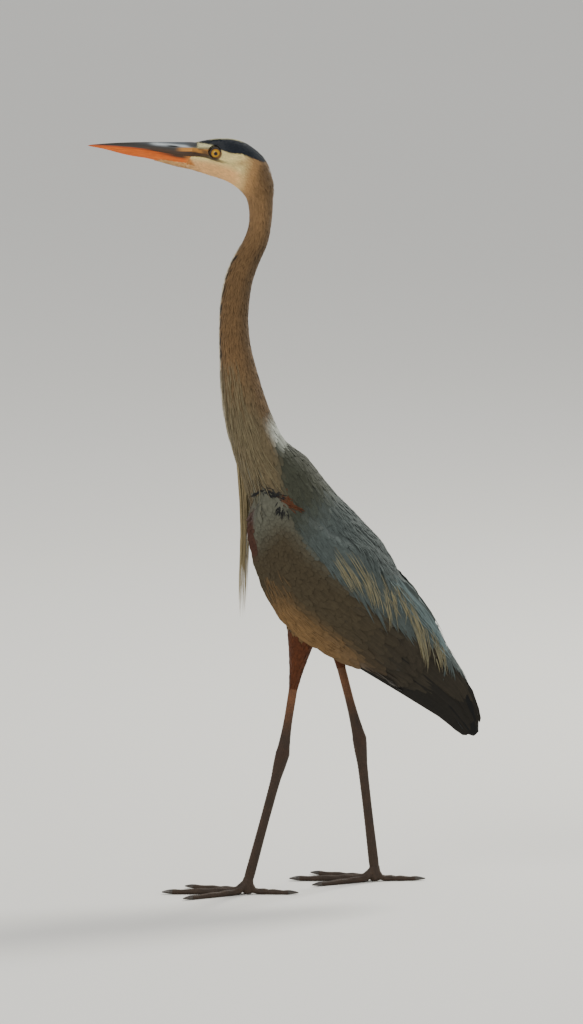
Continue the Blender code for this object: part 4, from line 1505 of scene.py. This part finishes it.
def thigh_surface(table, knee, run, fore, beside, length):
    """One drumstick as a surface: how far down it, and the turn about its line."""
    def place(down, angle):
        row = (down / length - THIGH_TOP) / (1 - THIGH_TOP) * (THIGH_ROWS - 1)
        reach = looked_up(table, row, angle / math.tau * THIGH_SPOKES, True)[..., None]
        turned = np.cos(angle)[..., None] * fore + np.sin(angle)[..., None] * beside
        return knee + down[..., None] * run + reach * turned

    return lambda down, angle: faced(place, down, angle, 3, 0.2, 1.0)


for number, side in enumerate(SIDES):
    random = np.random.default_rng(60 + number)
    table, knee, run, fore, beside, length = thigh_table(side)
    surface = thigh_surface(table, knee, run, fore, beside, length)
    downs = np.arange(0.32 * length, length - 1, 3.6)
    roots = np.concatenate([
        np.stack([np.full(20, down), (np.arange(20) + 0.5 * (row % 2)) / 20 * math.tau], 1)
        for row, down in enumerate(downs)])
    roots = roots + random.normal(0, (0.5, 0.05), roots.shape)
    found, facing = surface(roots[:, 0], roots[:, 1])
    radius = np.linalg.norm(found - knee - ((found - knee) @ run)[:, None] * run, axis=1)
    roots = roots[radius < 30]
    edge = 0.12 if side == "left" else 0.62
    thigh = grow("thigh_feathers_" + side, surface,
                 lambda down, angle: np.stack([edge + angle / 20, down / 300], -1), roots, 10.0, 2.4,
                 ROUND_TIP, 1.0, random, thickness=0.2, stretch=0.06, tone=0.09, farthest=8.0)
    finish_coat(thigh, contour_finish, "chestnut_plumage")


# Bill -------------------------------------------------------------------------------------------
# Two long horn sheaths that meet along the gape: dark slate above, with a groove that runs forward
# from the nostril, and orange below.  Each is drawn out from its root, ring by ring, to the tip.

# Distance forward, the ridge's height, the gape's height, half width.
UPPER_SHEATH = ((-103, 991.5, 979.0, 5.0), (-112, 996.6, 979.4, 8.8), (-120, 998.3, 979.9, 10.9),
                (-130, 998.3, 980.9, 10.8), (-142, 998.2, 982.2, 9.7), (-158, 998.3, 984.8, 8.5),
                (-178, 998.2, 988.0, 7.0), (-204, 997.9, 990.6, 5.4), (-231, 996.6, 992.4, 3.4),
                (-248, 995.2, 993.2, 1.9), (-260, 993.9, 993.1, 0.45))
# Distance forward, the gape's height, the keel's height, half width.
LOWER_SHEATH = ((-103, 978.6, 967.0, 5.0), (-112, 979.2, 962.8, 9.0), (-120, 979.8, 961.0, 11.2),
                (-131, 980.6, 963.0, 10.7), (-146, 982.3, 966.4, 9.2),
                (-164, 985.4, 971.6, 7.7), (-182, 988.0, 976.8, 6.2), (-200, 989.9, 978.8, 5.2),
                (-217, 991.2, 982.8, 4.1), (-234, 992.3, 987.8, 2.8), (-248, 993.1, 990.9, 1.7),
                (-258.5, 993.3, 992.4, 0.45))
BILL_SIDES = 24
BILL_FINER = 3                  # times that each face of a sheath is split in four
NOSTRIL = -147.0                # how far forward it lies
SHARP_HORN = math.radians(50)   # an edge of the horn that turns more than this stays sharp


def drawn_out(name, stations):
    """A closed horn drawn out along -X through rings of (x, centre height, half width, half height)."""
    deselect()
    x, centre, half_width, half_height = stations[0]
    bpy.ops.mesh.primitive_circle_add(vertices=BILL_SIDES, radius=1.0, fill_type="NGON",
                                      location=Vector((x, 0, centre)) * MM,
                                      rotation=(0, -math.pi / 2, 0))
    horn = bpy.context.active_object
    horn.name = name
    bpy.ops.object.transform_apply(location=False, rotation=True, scale=True)
    bpy.ops.object.mode_set(mode="EDIT")
    bpy.ops.mesh.select_all(action="SELECT")
    bpy.ops.transform.resize(value=(1, half_width * MM, half_height * MM),
                             center_override=Vector((x, 0, centre)) * MM)
    for before, after in zip(stations, stations[1:]):
        step = Vector((after[0] - before[0], 0, after[1] - before[1])) * MM
        bpy.ops.mesh.extrude_region_move(TRANSFORM_OT_translate={"value": step})
        bpy.ops.transform.resize(value=(1, after[2] / before[2], after[3] / before[3]),
                                 center_override=Vector((after[0], 0, after[1])) * MM)
    bpy.ops.mesh.select_all(action="SELECT")
    bpy.ops.mesh.normals_make_consistent(inside=False)
    bpy.ops.object.mode_set(mode="OBJECT")
    select_only(horn)
    bpy.ops.object.transform_apply(location=True, rotation=True, scale=True)
    finer = horn.modifiers.new("finer", "SUBSURF")
    finer.levels = finer.render_levels = BILL_FINER
    bpy.ops.object.modifier_apply(modifier="finer")
    return horn


def rows_of(sheath, column):
    """One column of a sheath's table as two lists that run from the tip back to the root."""
    flipped = np.array(sheath, float)[::-1]
    return flipped[:, 0], flipped[:, column]


def gape_height(x):
    return np.interp(x, *rows_of(UPPER_SHEATH, 2))


def finish_horn(horn, colours, slot, node):
    """Colours a sheath, smooths all of it but its sharp edges and hands it over."""
    set_colours(horn.data, "horn", colours)
    horn.data.materials.append(horn_finish)
    select_only(horn)
    bpy.ops.object.shade_smooth_by_angle(angle=SHARP_HORN)
    hand_over(horn, slot, node)


horn_finish = new_material("bill_horn", 0.42, Coat_Weight=0.06, Coat_Roughness=0.25,
                           Specular_IOR_Level=0.35)
horn_stretch = add_node(horn_finish, "ShaderNodeMapping",
                        {"Vector": place_on(horn_finish), "Scale": (60, 700, 700)})
horn_grain = cloudy(horn_finish, horn_stretch.outputs["Vector"], 1.0, 5.0)
horn_shade = ramp(horn_finish, horn_grain, (0.25, grey(0.68)), (0.75, grey(1.2)))
horn_colour = mixed(horn_finish, 1.0, stored(horn_finish, "horn"), horn_shade, "MULTIPLY")
wire(horn_finish, horn_colour, horn_grain, 0.0003, 0.35)

HORN_DARK = linear(50, 45, 40)
HORN_SLATE = linear(76, 82, 88)
HORN_BROWN = linear(62, 42, 24)
HORN_REFLECTION = linear(192, 200, 204)
NOSTRIL_SHADE = linear(16, 13, 11)
ORANGE = linear(208, 96, 0)
DEEP_ORANGE = linear(176, 72, 0)
PINK_HORN = linear(194, 118, 44)

upper = drawn_out("upper_mandible", [(x, gape, half, ridge - gape)
                                     for x, ridge, gape, half in UPPER_SHEATH])
x, y, z = points_of(upper).T
gape = gape_height(x)
ridge = np.interp(x, *rows_of(UPPER_SHEATH, 1))
rise = np.clip((z - gape) / np.maximum(ridge - gape, 0.3), 0, 1)
z = np.where(z < gape, gape, z)
y = y * (1 - 0.30 * rise**1.5)
groove_z = np.interp(x, (-215, -180, -147, -125), (996.6, 995.6, 993.6, 991.5))
groove = np.exp(-((z - groove_z) / 1.1) ** 2) * soft_step(x, -212, -180) * soft_step(x, -122, -132)
slit = np.exp(-(np.abs(x - NOSTRIL) / 7.5) ** 3 - ((z - groove_z + 0.5) / 0.7) ** 2)
side = np.abs(y)
y = np.sign(y) * np.maximum(side - 0.9 * groove - 1.1 * slit, 0.2 * side)
move_points(upper, np.stack([x, y, z], 1))
colours = even(HORN_DARK, x)
colours = lay_over(colours, soft_step(rise, 0.45, 0.85) * soft_step(x, -215, -150), HORN_SLATE)
colours = lay_over(colours, soft_step(rise, 0.5, 0.2) * soft_step(x, -200, -170), HORN_BROWN)
# A pale streak along the upper sheath above its groove: a painted reflection of bright light.
painted_reflection = np.exp(-((z - groove_z - 0.9) / 1.7) ** 2) * soft_step(x, -182, -166) * soft_step(x, -118, -126)
colours = lay_over(colours, 0.9 * painted_reflection, HORN_REFLECTION)
lip = soft_step(z - gape, 2.0, 0.9) * soft_step(x, -172, -190)
colours = lay_over(colours, 0.9 * lip, DEEP_ORANGE)
# The nostril slit is painted near-black: painted shade inside the opening.
colours = lay_over(colours, np.clip(slit * 1.4, 0, 1), NOSTRIL_SHADE)
lore_band = soft_step(x, -146, -132) * soft_step(np.abs(z - 989.2), 3.0, 1.6)
colours = lay_over(colours, soft_step(x, -134, -122) * soft_step(z, 991, 993), HORN_BASE)
colours = lay_over(colours, lore_band, LORES)
finish_horn(upper, colours, "bill_horn", "bill_upper")

GAPE_GAP = 0.04                 # between the two halves of the closed bill
lower = drawn_out("lower_mandible", [(x, gape, half, gape - keel)
                                     for x, gape, keel, half in LOWER_SHEATH])
x, y, z = points_of(lower).T
gape = gape_height(x) - GAPE_GAP
keel = np.interp(x, *rows_of(LOWER_SHEATH, 2))
fall = np.clip((gape - z) / np.maximum(gape - keel, 0.3), 0, 1)
z = np.where(z > gape, gape, z)
y = y * (1 - 0.22 * fall**1.5)
side = np.abs(y)
seam_z = np.interp(x, (-200, -121), (983.5, 970.5))
seam = np.exp(-((z - seam_z) / 0.7) ** 2) * soft_step(x, -205, -190) * soft_step(x, -124, -134)
y = np.sign(y) * np.maximum(side - 0.35 * seam, 0.2 * side)
move_points(lower, np.stack([x, y, z], 1))
colours = even(ORANGE, x)
colours = lay_over(colours, soft_step(fall, 0.5, 0.0) * soft_step(x, -215, -150) * 0.8, DEEP_ORANGE)
colours = lay_over(colours, soft_step(fall, 0.30, 0.10) * soft_step(x, -176, -140), HORN_BROWN)
colours = lay_over(colours, 0.85 * soft_step(fall, 0.45, 0.8) * soft_step(x, -180, -145), PINK_HORN)
colours = lay_over(colours, soft_step(x, -136, -122), JAW_ORANGE)
finish_horn(lower, colours, "bill_yellow", "bill_lower")


# Chin -------------------------------------------------------------------------------------------
# A wedge of very short feathers that runs forward from the throat between the two arms of the
# lower jaw, under the bill.

lower_tree = tree_of(lower)
CHIN_FRONT = -172.0
CHIN_BACK = -113.0
CHIN_STEP = 2.0
CHIN_DEPTH = 2.0                # how far the spokes' middle lies below the gape
CHIN_ROWS = np.arange(CHIN_FRONT - 4, CHIN_BACK + 14, CHIN_STEP)
CHIN_TURNS = np.linspace(-1.56, 1.56, 27)


def chin_probe(x, angle):
    """How far the underside of the lower jaw lies from the middle of the bill."""
    middle = Vector((x, 0, float(gape_height(x)) - CHIN_DEPTH)) * MM
    way = (0, math.sin(angle), -math.cos(angle))
    return np.fmax(*[met(tree, middle, way, 0.05) for tree in (lower_tree, skin_tree)])


chin_reach = filled(measured(CHIN_ROWS, CHIN_TURNS, chin_probe))


def chin_point(x, angle):
    row = (x - CHIN_ROWS[0]) / CHIN_STEP
    column = (angle - CHIN_TURNS[0]) / (CHIN_TURNS[1] - CHIN_TURNS[0])
    reach = looked_up(chin_reach, row, column, False)
    height = gape_height(x) - CHIN_DEPTH - reach * np.cos(angle)
    return np.stack([x, reach * np.sin(angle), height], -1)


def chin_surface(x, angle):
    return faced(chin_point, x, angle, 2, 0.1, 1.0)


def chin_unwrap(x, angle):
    return np.stack([0.9 + x / 4000, 0.5 + angle / 60], -1)


random = np.random.default_rng(71)
rows = np.arange(CHIN_FRONT, CHIN_BACK, 1.3)
turns = np.linspace(-1.45, 1.45, 37)
roots = np.concatenate([np.stack([np.full(len(turns), x), turns + 0.04 * (row % 2)], 1)
                        for row, x in enumerate(rows)])
wedge = np.interp(roots[:, 0], (CHIN_FRONT, -165, -150, -134, -116), (0.1, 0.48, 0.70, 0.80, 0.84))
roots = roots[np.abs(roots[:, 1]) < wedge]
roots = roots + random.normal(0, (0.3, 0.02), roots.shape)
chin = grow("chin_feathers", chin_surface, chin_unwrap, roots, 4.2, 0.52, FINE_TIP, 0.35, random,
            thickness=0.08, stretch=0.1, tone=0.06, colour_at=lambda points: even(THROAT, points))
finish_coat(chin, contour_finish, "face_plumage")


# Eyes -------------------------------------------------------------------------------------------
# A wet yellow iris round a small pupil, under a clear bulging front, set in a dark bare ring of
# eyelid with a slight corner before and behind.

EYE_MIDDLE = Vector((EYE[0], 10.6, EYE[1]))
EYE_BALL = 8.6
IRIS = 6.1
PUPIL = 2.3
BULGE = 5.2                     # the radius of the clear front, which stands out a little
LID_RING = 6.6
LID_ROLL = 1.05

PUPIL_BLACK = grey(0.004)

eye_finish = new_material("wet_iris", 0.2, Coat_Weight=0.35, Coat_Roughness=0.02,
                          Specular_IOR_Level=0.2)
eye_centred = add_node(eye_finish, "ShaderNodeMapping",
                       {"Vector": place_on(eye_finish),
                        "Location": (-EYE_MIDDLE.x * MM, 0, -EYE_MIDDLE.z * MM)})
eye_parts = add_node(eye_finish, "ShaderNodeSeparateXYZ", {"Vector": eye_centred.outputs["Vector"]})
eye_flat = add_node(eye_finish, "ShaderNodeCombineXYZ",
                    {"X": eye_parts.outputs["X"], "Z": eye_parts.outputs["Z"]})
eye_radius = add_node(eye_finish, "ShaderNodeVectorMath", {0: eye_flat.outputs["Vector"]},
                      operation="LENGTH")
eye_angle = worked(eye_finish, "ARCTAN2", eye_parts.outputs["Z"], eye_parts.outputs["X"])
eye_rays = worked(eye_finish, "SINE", worked(eye_finish, "MULTIPLY", eye_angle, 37.0))
eye_share = worked(eye_finish, "DIVIDE", eye_radius.outputs["Value"], EYE_BALL * MM)
eye_share = worked(eye_finish, "MULTIPLY_ADD", eye_rays, 0.006, eye_share)
wire(eye_finish, ramp(eye_finish, eye_share,
                      (0.0, PUPIL_BLACK), (PUPIL / EYE_BALL - 0.01, PUPIL_BLACK),
                      (PUPIL / EYE_BALL + 0.015, tint(linear(150, 96, 10))),
                      (0.40, tint(linear(186, 142, 0))), (0.56, tint(linear(164, 118, 0))),
                      (IRIS / EYE_BALL - 0.02, tint(linear(110, 66, 6))),
                      (IRIS / EYE_BALL + 0.03, (0.01, 0.008, 0.006, 1)), (1.0, (0.02, 0.015, 0.01, 1))))

lid_finish = new_material("eyelid_skin", 0.6)
lid_grain = scaly(lid_finish, place_on(lid_finish), 1500.0)
lid_colour = ramp(lid_finish, lid_grain, (0.0, tint(linear(28, 21, 15))), (1.0, tint(linear(50, 38, 24))))
wire(lid_finish, lid_colour, lid_grain, 0.0002, 0.3)


def just_added(name):
    """The piece just added, named, with its place and its turn written into its points."""
    piece = bpy.context.active_object
    piece.name = name
    bpy.ops.object.transform_apply(location=True, rotation=True, scale=True)
    return piece


for side, sign in SIDES.items():
    middle = Vector((EYE_MIDDLE.x, sign * EYE_MIDDLE.y, EYE_MIDDLE.z))
    deselect()
    bpy.ops.mesh.primitive_uv_sphere_add(segments=64, ring_count=40, radius=EYE_BALL * MM,
                                         location=middle * MM, rotation=(math.pi / 2, 0, 0))
    eye = just_added("eyeball_" + side)
    places = points_of(eye)
    flat = np.hypot(places[:, 0] - middle.x, places[:, 2] - middle.z)
    facing = (places[:, 1] - middle.y) * sign > 0
    places[:, 1] += sign * facing * 0.7 * np.clip(1 - (flat / BULGE) ** 2, 0, 1)
    move_points(eye, places)
    bpy.ops.object.shade_smooth()
    eye.data.materials.append(eye_finish)
    hand_over(eye, "eye_yellow", "eye_" + side)

    deselect()
    lid_depth = middle + Vector((0, sign * 5.3, 0))
    bpy.ops.mesh.primitive_torus_add(major_segments=72, minor_segments=18, major_radius=LID_RING * MM,
                                     minor_radius=LID_ROLL * MM, location=lid_depth * MM,
                                     rotation=(math.pi / 2, 0, 0))
    lid = just_added("eyelids_" + side)
    places = points_of(lid)
    off_x, off_z = places[:, 0] - middle.x, places[:, 2] - middle.z
    round_angle = np.arctan2(off_z, off_x)
    flat = np.hypot(off_x, off_z)
    corner = np.cos(round_angle) ** 8
    outer_share = np.clip((flat - LID_RING + LID_ROLL) / (2 * LID_ROLL), 0, 1)
    places[:, 0] = middle.x + off_x * (1 + 0.16 * corner * outer_share)
    places[:, 2] = middle.z + off_z * (1 - 0.05 * np.abs(np.sin(round_angle)))
    places[:, 1] = lid_depth.y + 0.7 * (places[:, 1] - lid_depth.y)
    places[:, 1] -= sign * (1.7 * outer_share**2 + 0.5 * corner)
    fold = 0.16 * np.sin(round_angle * 26) * outer_share
    places[:, 1] += sign * fold
    move_points(lid, places)
    bpy.ops.object.shade_smooth()
    lid.data.materials.append(lid_finish)
    hand_over(lid, "face_plumage")


# Bare legs --------------------------------------------------------------------------------------
# Scaly horn-brown skin from the feathered thigh to the toes: broad plates down the front of each
# shin and along the toes, and small round scales elsewhere, in one skin with no seam at the joints.

LEG_VOXEL = 0.9
SHIN_PLATE = 4.6                # from one plate's edge to the next
TOE_PLATE = 3.4
LOWEST = 0.02                   # the soles and the claws rest this far above the floor
# Each leg's bare line: the top in the feathers, the heel joint and the joint above the toes.
LEG_LINES = {
    "left": ((11.0, -39.0, 275.0), (-2.8, -43.0, 189.2), (-49.39, -46.0, 15.33)),
    "right": ((74.0, 39.0, 291.0), (98.6, 43.0, 193.8), (118.98, 46.0, 14.96)),
}
TIBIA = linear(106, 68, 40)
TARSUS = linear(54, 39, 27)
TOE = linear(58, 44, 32)
HEEL = linear(56, 37, 24)

leg_finish = new_material("scaly_leg", 0.6, Coat_Weight=0.04, Coat_Roughness=0.4,
                          Specular_IOR_Level=0.3)
leg_place = place_on(leg_finish)
leg_cells = scaly(leg_finish, leg_place, 620.0)
leg_cloud = cloudy(leg_finish, leg_place, 90.0, 4.0)
leg_shade = ramp(leg_finish, leg_cells, (0.0, grey(1.15)), (0.8, (0.62, 0.60, 0.58, 1)))
leg_tone = ramp(leg_finish, leg_cloud, (0.3, grey(0.78)), (0.7, (1.18, 1.15, 1.12, 1)))
leg_colour = mixed(leg_finish, 1.0, stored(leg_finish, "scales"), leg_shade, "MULTIPLY")
leg_colour = mixed(leg_finish, 1.0, leg_colour, leg_tone, "MULTIPLY")
wire(leg_finish, leg_colour, leg_cells, 0.0005, 0.5, invert=True)


def plate_height(travel, pitch):
    """The profile of overlapping plates along a limb: each rises slowly and drops at its edge."""
    share = np.mod(travel / pitch, 1.0)
    return share - 4.0 * np.clip(share - 0.8, 0, 1)


def rounded_off(places, edges, share, rounds):
    """Rounds off corners without thinning: every point goes towards its neighbours and part back."""
    first, second = edges.T
    near = np.bincount(edges.ravel(), minlength=len(places))[:, None]
    for step in (0.5, -0.53) * rounds:
        total = np.stack([np.bincount(first, column[second], len(places))
                          + np.bincount(second, column[first], len(places)) for column in places.T], 1)
        places = places + step * share[:, None] * (total / near - places)
    return places


for side in SIDES:
    leg = fused("leg_" + side, ["shank_" + side, "tarsus_" + side, "foot_" + side], LEG_VOXEL, 3)
    ends = read_out(leg.data.edges, "vertices", 2, np.int32)
    places = points_of(leg)
    move_points(leg, rounded_off(places, ends, soft_step(places[:, 2], 26, 50), 60))
    places = points_of(leg) - SWELL * normals_of(leg)
    facing = normals_of(leg)
    top, heel, toes = (np.array(point) for point in LEG_LINES[side])
    on_shin = soft_step(places[:, 2], 26, 38) * soft_step(places[:, 2], heel[2] + 2, heel[2] - 12)
    on_toes = soft_step(places[:, 2], 24, 15)
    forward = soft_step(-facing[:, 0], 0.15, 0.75)
    shin_run = unit(toes - heel)
    shin_travel = (places - heel) @ shin_run
    plates = 0.45 * on_shin * forward * (plate_height(shin_travel, SHIN_PLATE) - 0.4)
    toe_travel = np.hypot(places[:, 0] - toes[0], places[:, 1] - toes[1])
    upward = soft_step(facing[:, 2], 0.1, 0.6)
    plates += 0.35 * on_toes * upward * (plate_height(toe_travel, TOE_PLATE) - 0.4)
    pads = 0.25 * on_toes * np.sin(toe_travel * 0.42) * soft_step(-facing[:, 2], -0.2, 0.3)
    plates += pads * (places[:, 2] > 2.2)
    places = places + facing * plates[:, None]
    floor_rise = np.maximum(places[:, 2], LOWEST)
    move_points(leg, np.stack([places[:, 0], places[:, 1], floor_rise], 1))
    share = np.clip((top[2] - places[:, 2]) / (top[2] - heel[2]), 0, 1)
    colours = lay_over(even(TIBIA, places), soft_step(share, 0.15, 0.8), TARSUS)
    colours = lay_over(colours, np.exp(-((places[:, 2] - heel[2]) / 14) ** 2), HEEL)
    colours = lay_over(colours, on_toes, TOE)
    gap = np.mod(shin_travel / SHIN_PLATE, 1.0)
    seam = on_shin * forward * soft_step(np.abs(gap - 0.98), 0.12, 0.03)
    colours = colours * (1 - 0.45 * seam[:, None]) * (1 + 0.22 * (on_shin * forward)[:, None])
    set_colours(leg.data, "scales", colours)
    leg.data.materials.append(leg_finish)
    hand_over(leg, "leg_scales", "shank_" + side, "tarsus_" + side, "foot_" + side)


# Claws ------------------------------------------------------------------------------------------
# Four blunt curved claws on each foot, smooth dark horn mottled with brown.

CLAW_VOXEL = 0.4
CLAW_ROOT = 1.13                # the claw grows out of the toe, so it reaches back inside it
claw_finish = new_material("claw_horn", 0.3, Coat_Weight=0.4, Coat_Roughness=0.15)
claw_grain = cloudy(claw_finish, place_on(claw_finish), 380.0, 4.0)
wire(claw_finish, ramp(claw_finish, claw_grain, (0.3, tint(linear(24, 21, 19))),
                       (0.7, tint(linear(62, 52, 42)))))

for side in SIDES:
    for toe in ("inner", "middle", "outer", "hind"):
        node = "claw_%s_%s" % (side, toe)
        claw = fused(node + "_horn", [node], CLAW_VOXEL, 3)
        places = points_of(claw)
        from_leg = np.hypot(*(places - np.array(LEG_LINES[side][2]))[:, :2].T)
        tip = places[np.argmax(from_leg)]
        places = tip + CLAW_ROOT * (places - tip)
        places[:, 2] = np.maximum(places[:, 2], LOWEST)
        move_points(claw, places)
        claw.data.materials.append(claw_finish)
        hand_over(claw, "claw_horn", node)
